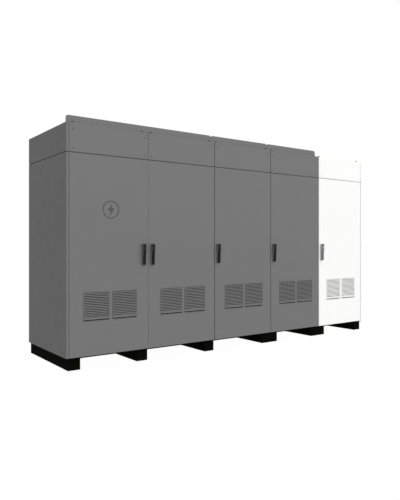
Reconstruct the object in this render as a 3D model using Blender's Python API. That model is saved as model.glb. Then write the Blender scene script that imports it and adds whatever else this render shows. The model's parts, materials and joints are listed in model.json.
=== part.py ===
"""Floor-standing line-up of battery and inverter cabinets: five equal bays in four cabinets.

Metres, +Z up. The origin is on the floor at the centre of the line-up's outline, +X runs along
the row to the right as seen from the front, and the doors face -Y.
"""

import math

import bmesh
import bpy
from mathutils import Matrix, Vector

# Overall dimensions
BAY_COUNT = 5
BAY_WIDTH = 0.800
SIDE_COVER = 0.026  # thickness of the cover on each end of the row
DEPTH = 0.990  # from the door face to the rear wall
HANDLE_PROUD = 0.040  # how far the swing handles stand off the door face
BEAM_HEIGHT = 0.105
DOOR_BOTTOM = 0.1145
DOOR_TOP = 1.9180
CARCASS_TOP = 1.9240
TOP_BOX_BOTTOM = 1.9265
ROOF = 2.181
RAIL_HEIGHT = 0.079  # how far the lifting rail stands over the roof

# Sheet metal and fits
SHEET = 0.002
COVER_SHEET = 0.0025
TOUCH = 0.0003  # gap between pieces that bear on each other
CABINET_GAP = 0.0005  # half of the gap between neighbouring cabinets
DOOR_GAP = 0.002  # half of the gap between neighbouring doors
DOOR_THICK = 0.022
STAY_INSET = 0.112  # from each side of the bay to the ends of a door's cross stays
STAY_BOTTOMS = (1.252, 1.690)
STAY_HEIGHT = 0.036
STAY_DEPTH = 0.012  # its back, behind the door face
DOOR_EDGE_RADIUS = 0.006
LIP_DEPTH = 0.031  # from the door face to the front of the carcass
LIP_WIDTH = 0.040  # front frame around each door opening
SILL_SETBACK = 0.020  # the sill under the doors, behind the door face
SILL_THICK = 0.0055
COVER_RADIUS = 0.012  # rounded front corner of the end covers

# Door hinges: a pin on the carcass stands up into a knuckle on the door
HINGE_INSET = 0.017  # axis to the bay boundary
HINGE_DEPTH = 0.009  # axis to the door face
HINGE_HEIGHTS = (0.300, 1.010, 1.720)
PIN_RADIUS = 0.004
PIN_BORE_RADIUS = 0.00425
LUG_THICK = 0.010
LUG_HALF_WIDTH = 0.005
LUG_ANGLE = math.radians(60)
KNUCKLE_HEIGHT = 0.025
KNUCKLE_HALF = 0.007

# Filter grilles, two on each door
GRILLE_WIDTH = 0.250
GRILLE_HEIGHT = 0.256
GRILLE_BOTTOM = 0.427
GRILLE_GAP = 0.033
GRILLE_CENTRE = 0.405  # middle of the pair, from the bay's left boundary
GRILLE_PROUD = 0.006
GRILLE_BODY = 0.222  # side of the square body that passes through the door
GRILLE_CUT = 0.226
SLAT_COUNT = 12
SLAT_CHORD = 0.015
SLAT_THICK = 0.002
SLAT_TILT = math.radians(40)

# Swing handles
HANDLE_INSET = 0.040  # axis to the bay boundary, on doors hinged at the right
HANDLE_INSET_FIRST = 0.057  # the same on the first door, which is hinged at the left
HANDLE_BOTTOM = 0.914
HANDLE_TOP = 1.118
HANDLE_AXIS_Z = 1.085
DISH_WIDTH = 0.030
DISH_THICK = 0.008
HOUSING_WIDTH = 0.028
HOUSING_BOTTOM = 1.050
HOUSING_PROUD = 0.030
SPINDLE_RADIUS = 0.0110
SPINDLE_BORE = 0.0114
SPINDLE_END = 0.0205  # inner end, behind the door face
CAM_FRONT = 0.0135
CAM_THICK = 0.005
CAM_LENGTH = 0.030
CAM_HALF_WIDTH = 0.008
PLATE_BACK = 0.0305
PLATE_FRONT = 0.0335
TILT_Z = 1.1105
TILT_PROUD = 0.0369
EAR_INNER = 0.0085
EAR_OUTER = 0.0120
TILT_PIN_RADIUS = 0.0016
TILT_BORE_RADIUS = 0.0020
LEVER_HEAD_WIDTH = 0.026
LEVER_ARM_WIDTH = 0.022
KNOB_RADIUS = 0.0031

# Plinth beams: left and right edge of each, from the row's left end
BEAM_SPANS = (
    (0.000, 0.115),
    (0.685, 0.800),
    (1.485, 1.600),
    (2.285, 2.515),
    (3.085, 3.315),
    (3.885, 4.000),
)
BEAM_SETBACK = 0.020  # front end, behind the door face
BEAM_REAR = 0.018  # how far the beams stand out behind the cabinets
BEAM_WALL = 0.004

# Lifting rail: an angle with its foot on the roof
RAIL_FACE = 0.068
RAIL_THICK = 0.009
RAIL_FOOT_FRONT = 0.022
RAIL_FOOT_THICK = 0.006
RAIL_CORNER = 0.022

# Inside
RACK_WIDTH = 0.540
RACK_DEPTH = 0.720
RACK_TOP = 1.460
RACK_FRONT = 0.112
POST = 0.030
MODULE_WIDTH = 0.442
MODULE_FACE_WIDTH = 0.482
MODULE_HEIGHT = 0.266
MODULE_DEPTH = 0.640
MODULE_COUNT = 4
MODULE_FIRST = 0.200
MODULE_PITCH = 0.300
MODULE_FACE_THICK = 0.003
RUNNER_HEIGHT = 0.022
PANEL_WIDTH = 0.680
PANEL_BOTTOM = 0.260
PANEL_TOP = 1.840
PANEL_STAND_OFF = 0.060
PANEL_SHEET = 0.003
SWITCH_SIZE = (0.300, 0.160, 0.360)
SWITCH_BOTTOM = 1.180
SWITCH_AXIS_Z = 1.360
SWITCH_STEM_RADIUS = 0.008
SWITCH_STEM_BORE = 0.0084
INVERTER_WIDTH = 0.620
INVERTER_DEPTH = 0.560
INVERTER_HEIGHT = 1.420
INVERTER_FRONT = 0.120

LEFT = -BAY_COUNT * BAY_WIDTH / 2
FRONT = -(DEPTH + HANDLE_PROUD + BEAM_REAR) / 2 + HANDLE_PROUD
BACK = FRONT + DEPTH
RAIL_TOP = ROOF + RAIL_HEIGHT
FLOOR_TOP = BEAM_HEIGHT + SHEET  # upper face of the carcass floor

# Name, first bay and number of bays of each cabinet, left to right
CABINETS = (
    ("main", 0, 2),
    ("smart_load", 2, 1),
    ("inverter_1", 3, 1),
    ("inverter_2", 4, 1),
)
WHITE_BAY = BAY_COUNT - 1

# Colour, roughness and metallic value of each finish
FINISHES = {
    "grey_paint": ((0.165, 0.165, 0.167), 0.55, 0.0),
    "white_paint": ((0.84, 0.84, 0.83), 0.50, 0.0),
    "black_paint": ((0.012, 0.012, 0.011), 0.60, 0.0),
    "handle_grey": ((0.062, 0.062, 0.064), 0.45, 0.0),
    "handle_black": ((0.018, 0.018, 0.019), 0.40, 0.0),
    "handle_light": ((0.38, 0.375, 0.378), 0.45, 0.0),
    "handle_mid": ((0.17, 0.168, 0.17), 0.42, 0.0),
    "zinc_steel": ((0.52, 0.53, 0.54), 0.38, 1.0),
    "module_case": ((0.045, 0.047, 0.050), 0.50, 0.0),
    "device_case": ((0.30, 0.31, 0.32), 0.50, 0.0),
    "panel_case": ((0.33, 0.34, 0.35), 0.50, 0.0),
    "switch_red": ((0.55, 0.02, 0.015), 0.40, 0.0),
}


def clear_scene():
    for obj in list(bpy.data.objects):
        bpy.data.objects.remove(obj, do_unlink=True)


def finish(name):
    """The material of that name, made the first time it is asked for."""
    material = bpy.data.materials.get(name)
    if material:
        return material
    colour, roughness, metallic = FINISHES[name]
    material = bpy.data.materials.new(name)
    material.use_nodes = True
    shader = material.node_tree.nodes["Principled BSDF"]
    shader.inputs["Base Color"].default_value = (*colour, 1.0)
    shader.inputs["Roughness"].default_value = roughness
    shader.inputs["Metallic"].default_value = metallic
    material.diffuse_color = (*colour, 1.0)
    return material


# Closed shapes, from which each part is put together


def add_prism(shape, outline, axis, low, high):
    """Adds a closed prism to shape: a 2D outline pushed from low to high along axis (0 X, 1 Y, 2 Z)."""

    def corner(point, height):
        values = list(point)
        values.insert(axis, height)
        return shape.verts.new(values)

    bottom = [corner(point, low) for point in outline]
    top = [corner(point, high) for point in outline]
    shape.faces.new(bottom)
    shape.faces.new(top)
    for i in range(len(outline)):
        j = (i + 1) % len(outline)
        shape.faces.new((bottom[i], bottom[j], top[j], top[i]))


def prism(outline, axis, low, high):
    shape = bmesh.new()
    add_prism(shape, outline, axis, low, high)
    return shape


def boxes(*corners):
    """One shape with a box for each (low corner, high corner). They stay clear of each other."""
    shape = bmesh.new()
    for low, high in corners:
        (x0, y0, z0), (x1, y1, z1) = low, high
        add_prism(shape, ((x0, y0), (x1, y0), (x1, y1), (x0, y1)), 2, z0, z1)
    return shape


def arc(centre, radius, start, end, steps):
    """Points on an arc, angles in degrees, both ends included."""
    angles = [math.radians(start + (end - start) * i / steps) for i in range(steps + 1)]
    return [(centre[0] + radius * math.cos(a), centre[1] + radius * math.sin(a)) for a in angles]


def circle(centre, radius, sides):
    return arc(centre, radius, 0, 360, sides)[:-1]


def rods(axis, radius, sides, *places):
    """One shape with a round rod for each (centre, low, high). They stay clear of each other."""
    shape = bmesh.new()
    for centre, low, high in places:
        add_prism(shape, circle(centre, radius, sides), axis, low, high)
    return shape


def rounded_rectangle(low, high, radius, steps):
    (x0, y0), (x1, y1) = low, high
    r = radius
    return (
        arc((x1 - r, y0 + r), r, -90, 0, steps)
        + arc((x1 - r, y1 - r), r, 0, 90, steps)
        + arc((x0 + r, y1 - r), r, 90, 180, steps)
        + arc((x0 + r, y0 + r), r, 180, 270, steps)
    )


def helper_object(shape):
    bmesh.ops.recalc_face_normals(shape, faces=shape.faces)
    mesh = bpy.data.meshes.new("shape")
    shape.to_mesh(mesh)
    shape.free()
    obj = bpy.data.objects.new("shape", mesh)
    bpy.context.scene.collection.objects.link(obj)
    return obj


def part(name, material, base, *steps, origin=(0.0, 0.0, 0.0)):
    """Makes one named object: base, then each (operation, shape) joined to it or cut from it."""
    start = helper_object(base)
    helpers = [start]
    for operation, shape in steps:
        other = helper_object(shape)
        modifier = start.modifiers.new(operation, "BOOLEAN")
        modifier.operation = operation
        modifier.solver = "EXACT"
        modifier.object = other
        helpers.append(other)
    bpy.context.view_layer.update()
    graph = bpy.context.evaluated_depsgraph_get()
    mesh = bpy.data.meshes.new_from_object(start.evaluated_get(graph))
    for helper in helpers:
        bpy.data.objects.remove(helper, do_unlink=True)
    mesh.name = name
    mesh.transform(Matrix.Translation(-Vector(origin)))
    mesh.materials.clear()
    mesh.materials.append(finish(material))
    mesh.shade_smooth()
    mesh.set_sharp_from_angle(angle=math.radians(30))
    obj = bpy.data.objects.new(name, mesh)
    obj.location = origin
    bpy.context.scene.collection.objects.link(obj)
    return obj


def attach(child, parent):
    child.parent = parent
    child.location = Vector(child.location) - Vector(parent.location)


# Places along the row


def bay_left(bay):
    return LEFT + bay * BAY_WIDTH


def paint(bay):
    return "white_paint" if bay == WHITE_BAY else "grey_paint"


def hinge_side(bay):
    """-1 for a door hinged at its left edge, 1 at its right edge."""
    return -1 if bay == 0 else 1


def from_hinge_side(bay, distance):
    """World x at that distance inwards from the bay boundary on the door's hinge side."""
    if hinge_side(bay) < 0:
        return bay_left(bay) + distance
    return bay_left(bay) + BAY_WIDTH - distance


def hinge_axis(bay):
    return (from_hinge_side(bay, HINGE_INSET), FRONT + HINGE_DEPTH)


def handle_x(bay):
    if bay == 0:
        return bay_left(bay) + BAY_WIDTH - HANDLE_INSET_FIRST
    return bay_left(bay) + HANDLE_INSET


# Cabinet bodies


def hinge_lug_outline(bay):
    """A strap with a round eye on the hinge axis, running back at a slant into the front frame."""
    root = LIP_DEPTH + SHEET / 2 - HINGE_DEPTH
    lean = root / math.tan(LUG_ANGLE)
    spread = LUG_HALF_WIDTH / math.sin(LUG_ANGLE)
    around = math.degrees(LUG_ANGLE) + 90
    points = arc((0, 0), LUG_HALF_WIDTH, around, around + 180, 6)
    points += [(lean + spread, root), (lean - spread, root)]
    side = -hinge_side(bay)
    x, y = hinge_axis(bay)
    return [(x + side * u, y + v) for u, v in points]


def make_carcass(name, first, count):
    x0 = bay_left(first) + CABINET_GAP
    x1 = bay_left(first + count) - CABINET_GAP
    front = FRONT + LIP_DEPTH
    walls = boxes(((x0, front, BEAM_HEIGHT), (x1, BACK, CARCASS_TOP)))
    cavity = boxes(
        (
            (x0 + SHEET, front + SHEET, FLOOR_TOP),
            (x1 - SHEET, BACK - SHEET, CARCASS_TOP - SHEET),
        )
    )
    sill = boxes(
        (
            (x0, FRONT + SILL_SETBACK, BEAM_HEIGHT),
            (x1, front + SHEET / 2, BEAM_HEIGHT + SILL_THICK),
        )
    )
    openings = []
    lugs = bmesh.new()
    pins = []
    for bay in range(first, first + count):
        low = (bay_left(bay) + LIP_WIDTH, front - SHEET, BEAM_HEIGHT + LIP_WIDTH)
        high = (bay_left(bay + 1) - LIP_WIDTH, front + 2 * SHEET, CARCASS_TOP - LIP_WIDTH)
        openings.append((low, high))
        outline = hinge_lug_outline(bay)
        for z in HINGE_HEIGHTS:
            add_prism(lugs, outline, 2, z, z + LUG_THICK)
            pins.append((hinge_axis(bay), z + LUG_THICK / 2, z + LUG_THICK + KNUCKLE_HEIGHT))
    part(
        "carcass_" + name,
        paint(first),
        walls,
        ("DIFFERENCE", cavity),
        ("DIFFERENCE", boxes(*openings)),
        ("UNION", sill),
        ("UNION", lugs),
        ("UNION", rods(2, PIN_RADIUS, 12, *pins)),
    )


def cover_outline(side, inset):
    """Plan of an end cover, with a rounded front corner; inset is measured inwards from its outside."""
    inner = CABINET_GAP if inset == 0 else -CABINET_GAP
    radius = COVER_RADIUS - inset
    corner = (SIDE_COVER - COVER_RADIUS, COVER_RADIUS)
    points = [(inner, inset), (corner[0], inset)]
    points += arc(corner, radius, -90, 0, 8)[1:]
    points += [(SIDE_COVER - inset, DEPTH - inset), (inner, DEPTH - inset)]
    edge = LEFT if side < 0 else -LEFT
    return [(edge + side * u, FRONT + v) for u, v in points]


def make_side_cover(name, side, bay):
    low = DOOR_BOTTOM
    part(
        name,
        paint(bay),
        prism(cover_outline(side, 0), 2, low, DOOR_TOP),
        (
            "DIFFERENCE",
            prism(cover_outline(side, COVER_SHEET), 2, low + COVER_SHEET, DOOR_TOP - COVER_SHEET),
        ),
    )


def top_box_outline(first, count, inset):
    """Plan of a top box: set back behind the fascias, and out over the end cover at an end of the row."""
    front = FRONT + DOOR_GAP + DOOR_THICK
    x0 = bay_left(first) + CABINET_GAP
    x1 = bay_left(first + count) - CABINET_GAP
    corner = SIDE_COVER - COVER_RADIUS
    radius = COVER_RADIUS - inset
    points = []
    if first == 0:
        centre = (LEFT - corner, FRONT + COVER_RADIUS)
        points += [(LEFT - SIDE_COVER + inset, BACK - inset)]
        points += arc(centre, radius, 180, 270, 8)
        points += [(LEFT - CABINET_GAP - inset, FRONT + inset)]
        points += [(LEFT - CABINET_GAP - inset, front + inset)]
    else:
        points += [(x0 + inset, BACK - inset), (x0 + inset, front + inset)]
    if first + count == BAY_COUNT:
        centre = (-LEFT + corner, FRONT + COVER_RADIUS)
        points += [(-LEFT + CABINET_GAP + inset, front + inset)]
        points += [(-LEFT + CABINET_GAP + inset, FRONT + inset)]
        points += arc(centre, radius, 270, 360, 8)
        points += [(-LEFT + SIDE_COVER - inset, BACK - inset)]
    else:
        points += [(x1 - inset, front + inset), (x1 - inset, BACK - inset)]
    return points


def make_top_box(name, first, count):
    part(
        "top_box_" + name,
        paint(first),
        prism(top_box_outline(first, count, 0), 2, TOP_BOX_BOTTOM, ROOF),
        (
            "DIFFERENCE",
            prism(top_box_outline(first, count, SHEET), 2, TOP_BOX_BOTTOM - SHEET, ROOF - SHEET),
        ),
    )


def front_outline(bay, inset):
    """Plan of a door or fascia panel: flat front with rounded vertical edges; inset from the outside."""
    x0 = bay_left(bay) + DOOR_GAP + inset
    x1 = bay_left(bay + 1) - DOOR_GAP - inset
    radius = DOOR_EDGE_RADIUS - inset
    y0 = FRONT + inset
    back = FRONT + DOOR_THICK + (SHEET if inset else 0)
    return (
        [(x1, back), (x0, back)]
        + arc((x0 + radius, y0 + radius), radius, 180, 270, 4)
        + arc((x1 - radius, y0 + radius), radius, 270, 360, 4)
    )


def make_fascia(bay):
    low = TOP_BOX_BOTTOM
    high = ROOF - TOUCH
    part(
        f"fascia_{bay + 1}",
        paint(bay),
        prism(front_outline(bay, 0), 2, low, high),
        ("DIFFERENCE", prism(front_outline(bay, SHEET), 2, low + SHEET, high - SHEET)),
    )


def make_rail(name, first, count):
    """An angle with its upright leg behind its foot, and the leg's upper corners rounded."""
    x0 = bay_left(first) + CABINET_GAP
    x1 = bay_left(first + count) - CABINET_GAP
    foot_bottom = ROOF + TOUCH
    leg_front = FRONT + RAIL_FACE
    leg_back = leg_front + RAIL_THICK
    r = RAIL_CORNER
    leg = [(x0, foot_bottom), (x1, foot_bottom)]
    leg += arc((x1 - r, RAIL_TOP - r), r, 0, 90, 4)
    leg += arc((x0 + r, RAIL_TOP - r), r, 90, 180, 4)
    foot = boxes(
        (
            (x0, FRONT + RAIL_FOOT_FRONT, foot_bottom),
            (x1, leg_back, foot_bottom + RAIL_FOOT_THICK),
        )
    )
    part(
        "lifting_rail_" + name,
        paint(first),
        foot,
        ("UNION", prism(leg, 1, leg_front, leg_back)),
    )


def make_plinth_beam(number, left, right):
    """A beam folded from plate, closed below and open above, running from front to rear."""
    x0, x1 = LEFT + left, LEFT + right
    y0, y1 = FRONT + BEAM_SETBACK, BACK + BEAM_REAR
    z1 = BEAM_HEIGHT - TOUCH
    part(
        f"plinth_beam_{number}",
        "black_paint",
        boxes(((x0, y0, 0), (x1, y1, z1))),
        (
            "DIFFERENCE",
            boxes(
                (
                    (x0 + BEAM_WALL, y0 + BEAM_WALL, BEAM_WALL),
                    (x1 - BEAM_WALL, y1 - BEAM_WALL, z1 + BEAM_WALL),
                )
            ),
        ),
    )


# Doors


def grille_lefts(bay):
    centre = bay_left(bay) + GRILLE_CENTRE
    return (centre - GRILLE_GAP / 2 - GRILLE_WIDTH, centre + GRILLE_GAP / 2)


def grille_squares(bay, side, low, high):
    """A square box centred on each of a door's grilles, from low to high behind the door face."""
    middle_z = GRILLE_BOTTOM + GRILLE_HEIGHT / 2
    found = []
    for left in grille_lefts(bay):
        x = left + GRILLE_WIDTH / 2
        found.append(
            (
                (x - side / 2, FRONT + low, middle_z - side / 2),
                (x + side / 2, FRONT + high, middle_z + side / 2),
            )
        )
    return found


def cross_stay(bay, bottom):
    """Folded channel across the inside of a door, open towards the door's skin."""
    root = FRONT + SHEET / 2
    back = FRONT + STAY_DEPTH
    top = bottom + STAY_HEIGHT
    outline = [
        (root, bottom),
        (back, bottom),
        (back, top),
        (root, top),
        (root, top - SHEET),
        (back - SHEET, top - SHEET),
        (back - SHEET, bottom + SHEET),
        (root, bottom + SHEET),
    ]
    return prism(outline, 0, bay_left(bay) + STAY_INSET, bay_left(bay + 1) - STAY_INSET)


def make_door(bay):
    x, y = hinge_axis(bay)
    edge = from_hinge_side(bay, 0)
    notches = []
    knuckles = []
    bores = []
    for z in HINGE_HEIGHTS:
        inner = from_hinge_side(bay, 2 * SHEET + DOOR_GAP)
        outer = edge + hinge_side(bay) * DOOR_GAP
        low_x, high_x = sorted((inner, outer))
        notches.append(
            (
                (low_x, FRONT + DOOR_EDGE_RADIUS * 0.8, z - 0.004),
                (high_x, FRONT + DOOR_THICK + SHEET, z + LUG_THICK + 0.004),
            )
        )
        foot = z + LUG_THICK + 0.0005
        knuckles.append(
            (
                (x - KNUCKLE_HALF, FRONT + SHEET / 2, foot),
                (x + KNUCKLE_HALF, y + KNUCKLE_HALF, foot + KNUCKLE_HEIGHT),
            )
        )
        bores.append(((x, y), foot - SHEET, foot + KNUCKLE_HEIGHT + SHEET))
    handle = ((handle_x(bay), HANDLE_AXIS_Z), FRONT - SHEET, FRONT + 2 * SHEET)
    stays = [("UNION", cross_stay(bay, bottom)) for bottom in STAY_BOTTOMS]
    return part(
        f"door_{bay + 1}",
        paint(bay),
        prism(front_outline(bay, 0), 2, DOOR_BOTTOM, DOOR_TOP),
        ("DIFFERENCE", prism(front_outline(bay, SHEET), 2, DOOR_BOTTOM + SHEET, DOOR_TOP - SHEET)),
        ("DIFFERENCE", boxes(*grille_squares(bay, GRILLE_CUT, -SHEET, 2 * SHEET))),
        ("DIFFERENCE", rods(1, SPINDLE_BORE, 20, handle)),
        ("DIFFERENCE", boxes(*notches)),
        *stays,
        ("UNION", boxes(*knuckles)),
        ("DIFFERENCE", rods(2, PIN_BORE_RADIUS, 16, *bores)),
        origin=(x, y, 0),
    )


def make_grille_pair(bay):
    """Two louvred filter grilles on one carrier, which joins them behind the door skin."""
    flanges = []
    for left in grille_lefts(bay):
        flanges.append(
            (
                (left, FRONT - GRILLE_PROUD, GRILLE_BOTTOM),
                (left + GRILLE_WIDTH, FRONT - TOUCH, GRILLE_BOTTOM + GRILLE_HEIGHT),
            )
        )
    body_depth = 0.014
    first, second = grille_lefts(bay)
    middle_z = GRILLE_BOTTOM + GRILLE_HEIGHT / 2
    carrier = boxes(
        (
            (first + GRILLE_WIDTH / 2, FRONT + SHEET + TOUCH, middle_z - 0.090),
            (second + GRILLE_WIDTH / 2, FRONT + body_depth / 2, middle_z + 0.090),
        )
    )
    window = GRILLE_BODY - 0.010
    slats = bmesh.new()
    pitch = window / SLAT_COUNT
    dy = SLAT_CHORD / 2 * math.cos(SLAT_TILT)
    dz = SLAT_CHORD / 2 * math.sin(SLAT_TILT)
    middle_y = FRONT + (body_depth - GRILLE_PROUD) / 2
    for left in grille_lefts(bay):
        x = left + GRILLE_WIDTH / 2
        for i in range(SLAT_COUNT):
            z = middle_z - window / 2 + (i + 0.5) * pitch
            outline = (
                (middle_y - dy, z - dz - SLAT_THICK / 2),
                (middle_y + dy, z + dz - SLAT_THICK / 2),
                (middle_y + dy, z + dz + SLAT_THICK / 2),
                (middle_y - dy, z - dz + SLAT_THICK / 2),
            )
            add_prism(slats, outline, 0, x - window / 2 - SHEET, x + window / 2 + SHEET)
    return part(
        f"vent_grilles_{bay + 1}",
        paint(bay),
        boxes(*flanges),
        ("UNION", boxes(*grille_squares(bay, GRILLE_BODY, -GRILLE_PROUD / 2, body_depth))),
        ("UNION", carrier),
        ("DIFFERENCE", boxes(*grille_squares(bay, window, -2 * GRILLE_PROUD, 2 * body_depth))),
        ("UNION", slats),
        origin=(*hinge_axis(bay), 0),
    )


# Swing handles. Depths are measured outwards from the door face.


def make_handle_dish(bay):
    x = handle_x(bay)
    half = DISH_WIDTH / 2
    plate = rounded_rectangle((x - half, HANDLE_BOTTOM), (x + half, HANDLE_TOP), 0.008, 4)
    half = HOUSING_WIDTH / 2
    housing = rounded_rectangle((x - half, HOUSING_BOTTOM), (x + half, HANDLE_TOP - 0.001), 0.004, 3)
    bore = ((x, HANDLE_AXIS_Z), FRONT - HANDLE_PROUD, FRONT + SHEET)
    return part(
        f"handle_dish_{bay + 1}",
        "handle_light" if bay == WHITE_BAY else "handle_grey",
        prism(plate, 1, FRONT - DISH_THICK, FRONT - TOUCH),
        ("UNION", prism(housing, 1, FRONT - HOUSING_PROUD, FRONT - DISH_THICK / 2)),
        ("DIFFERENCE", rods(1, SPINDLE_BORE, 20, bore)),
        origin=(*hinge_axis(bay), 0),
    )


def make_handle_spindle(bay):
    """The turning piece: a shaft through the door, the latch cam behind it, and the lever's hinge ears."""
    x = handle_x(bay)
    z = HANDLE_AXIS_Z
    shaft = rods(1, SPINDLE_RADIUS, 20, ((x, z), FRONT - PLATE_BACK - 0.001, FRONT + SPINDLE_END))
    ear_low = TILT_Z - 0.0045
    plate = boxes(
        (
            (x - EAR_OUTER, FRONT - PLATE_FRONT, z - EAR_OUTER),
            (x + EAR_OUTER, FRONT - PLATE_BACK, HANDLE_TOP - 0.0015),
        )
    )
    ears = []
    for inner, outer in ((-EAR_OUTER, -EAR_INNER), (EAR_INNER, EAR_OUTER)):
        ears.append(
            (
                (x + inner, FRONT - HANDLE_PROUD, ear_low),
                (x + outer, FRONT - PLATE_BACK, HANDLE_TOP - 0.0015),
            )
        )
    side = hinge_side(bay)
    cam_x = sorted((x + side * CAM_HALF_WIDTH, x - side * CAM_LENGTH))
    cam = boxes(
        (
            (cam_x[0], FRONT + CAM_FRONT, z - CAM_HALF_WIDTH),
            (cam_x[1], FRONT + CAM_FRONT + CAM_THICK, z + CAM_HALF_WIDTH),
        )
    )
    pin = ((FRONT - TILT_PROUD, TILT_Z), x - EAR_INNER - 0.001, x + EAR_INNER + 0.001)
    return part(
        f"handle_spindle_{bay + 1}",
        "zinc_steel",
        shaft,
        ("UNION", plate),
        ("UNION", boxes(*ears)),
        ("UNION", cam),
        ("UNION", rods(0, TILT_PIN_RADIUS, 12, pin)),
        origin=(x, FRONT, z),
    )


def make_handle_lever(bay):
    """A flat head over the housing and an arm that hangs from it, a finger's width off the dish."""
    x = handle_x(bay)
    back = PLATE_FRONT + TOUCH
    head = rounded_rectangle(
        (x - LEVER_HEAD_WIDTH / 2, HOUSING_BOTTOM), (x + LEVER_HEAD_WIDTH / 2, TILT_Z - 0.006), 0.003, 3
    )
    arm = (
        (-HANDLE_PROUD + 0.001, 1.070),
        (-HANDLE_PROUD + 0.001, 1.044),
        (-0.0360, 1.030),
        (-0.0345, 0.930),
        (-0.0315, 0.9195),
        (-0.0255, 0.9160),
        (-0.0215, 0.9195),
        (-0.0200, 0.9280),
        (-0.0215, 1.0200),
        (-0.0250, 1.0400),
        (-0.0300, 1.0460),
        (-back, 1.0460),
        (-back, 1.070),
    )
    arm = [(FRONT + y, z) for y, z in arm]
    neck_width = EAR_INNER - TOUCH
    neck = boxes(
        (
            (x - neck_width, FRONT - HANDLE_PROUD, TILT_Z - 0.012),
            (x + neck_width, FRONT - back, TILT_Z),
        )
    )
    knob = ((FRONT - TILT_PROUD, TILT_Z), x - neck_width, x + neck_width)
    bore = ((FRONT - TILT_PROUD, TILT_Z), x - EAR_OUTER, x + EAR_OUTER)
    return part(
        f"handle_lever_{bay + 1}",
        "handle_mid" if bay == WHITE_BAY else "handle_black",
        prism(head, 1, FRONT - HANDLE_PROUD, FRONT - back),
        ("UNION", prism(arm, 0, x - LEVER_ARM_WIDTH / 2, x + LEVER_ARM_WIDTH / 2)),
        ("UNION", neck),
        ("UNION", rods(0, KNOB_RADIUS, 16, knob)),
        ("DIFFERENCE", rods(0, TILT_BORE_RADIUS, 12, bore)),
        origin=(x, FRONT - TILT_PROUD, TILT_Z),
    )


def make_front(bay):
    """A door with its grilles and its handle, parented as they move."""
    door = make_door(bay)
    attach(make_grille_pair(bay), door)
    attach(make_handle_dish(bay), door)
    spindle = make_handle_spindle(bay)
    attach(make_handle_lever(bay), spindle)
    attach(spindle, door)


# Inside the cabinets


def make_battery_rack():
    """Four posts, a frame at the top and the bottom, and a runner under each side of each module."""
    centre = bay_left(0) + BAY_WIDTH / 2
    x0, x1 = centre - RACK_WIDTH / 2, centre + RACK_WIDTH / 2
    y0 = FRONT + RACK_FRONT
    y1 = y0 + RACK_DEPTH
    z0 = FLOOR_TOP + TOUCH
    posts = []
    for x in (x0, x1 - POST):
        for y in (y0, y1 - POST):
            posts.append(((x, y, z0), (x + POST, y + POST, RACK_TOP)))
    cross_bars = []
    side_bars = []
    for z in (z0 + 0.010, RACK_TOP - POST - 0.010):
        for y in (y0 + 0.004, y1 - POST + 0.004):
            cross_bars.append(
                ((x0 + POST / 2, y, z), (x1 - POST / 2, y + POST - 0.008, z + POST - 0.008))
            )
        for x in (x0 + 0.004, x1 - POST + 0.004):
            side_bars.append(
                ((x, y0 + POST / 2, z + 0.004), (x + POST - 0.008, y1 - POST / 2, z + POST - 0.012))
            )
    runner_reach = (RACK_WIDTH - MODULE_WIDTH) / 2 + 0.020
    for i in range(MODULE_COUNT):
        top = MODULE_FIRST + i * MODULE_PITCH - TOUCH
        for x in ((x0 + 0.010, x0 + runner_reach), (x1 - runner_reach, x1 - 0.010)):
            side_bars.append(
                ((x[0], y0 + POST / 2, top - RUNNER_HEIGHT), (x[1], y1 - POST / 2, top))
            )
    part(
        "battery_rack",
        "zinc_steel",
        boxes(*posts),
        ("UNION", boxes(*cross_bars)),
        ("UNION", boxes(*side_bars)),
    )


def make_battery_module(number):
    """A pack that slides between the posts, with a wider face plate and two pull handles."""
    centre = bay_left(0) + BAY_WIDTH / 2
    z0 = MODULE_FIRST + number * MODULE_PITCH
    z1 = z0 + MODULE_HEIGHT
    face_back = FRONT + RACK_FRONT - TOUCH
    face_front = face_back - MODULE_FACE_THICK
    body = boxes(
        (
            (centre - MODULE_WIDTH / 2, face_front + MODULE_FACE_THICK / 2, z0),
            (centre + MODULE_WIDTH / 2, face_back + MODULE_DEPTH, z1),
        )
    )
    face = boxes(
        (
            (centre - MODULE_FACE_WIDTH / 2, face_front, z0),
            (centre + MODULE_FACE_WIDTH / 2, face_back, z1),
        )
    )
    grips = []
    stems = []
    for side in (-1, 1):
        x = centre + side * (MODULE_WIDTH / 2 - 0.020)
        grips.append(
            ((x - 0.006, face_front - 0.036, z0 + 0.060), (x + 0.006, face_front - 0.026, z1 - 0.060))
        )
        for z in (z0 + 0.062, z1 - 0.074):
            stems.append(
                ((x - 0.005, face_front - 0.030, z), (x + 0.005, face_front + 0.001, z + 0.012))
            )
    part(
        f"battery_module_{number + 1}",
        "module_case",
        body,
        ("UNION", face),
        ("UNION", boxes(*grips)),
        ("UNION", boxes(*stems)),
    )


def panel_plate(bay):
    """Mounting plate across the back of a bay, folded back to the rear wall at its sides."""
    centre = bay_left(bay) + BAY_WIDTH / 2
    x0, x1 = centre - PANEL_WIDTH / 2, centre + PANEL_WIDTH / 2
    back = BACK - SHEET - TOUCH
    front = back - PANEL_STAND_OFF
    plate = boxes(((x0, front, PANEL_BOTTOM), (x1, back, PANEL_TOP)))
    inner = boxes(
        (
            (x0 + PANEL_SHEET, front + PANEL_SHEET, PANEL_BOTTOM - PANEL_SHEET),
            (x1 - PANEL_SHEET, back + PANEL_SHEET, PANEL_TOP + PANEL_SHEET),
        )
    )
    return centre, front, plate, inner


def breaker_rows(centre, front, heights, half_width):
    """A row of breakers at each height: a wide body and a narrower nose."""
    bodies = []
    noses = []
    for z in heights:
        bodies.append(
            ((centre - half_width, front - 0.050, z), (centre + half_width, front + 0.001, z + 0.090))
        )
        noses.append(
            (
                (centre - half_width, front - 0.070, z + 0.022),
                (centre + half_width, front - 0.049, z + 0.068),
            )
        )
    return bodies, noses


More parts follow.
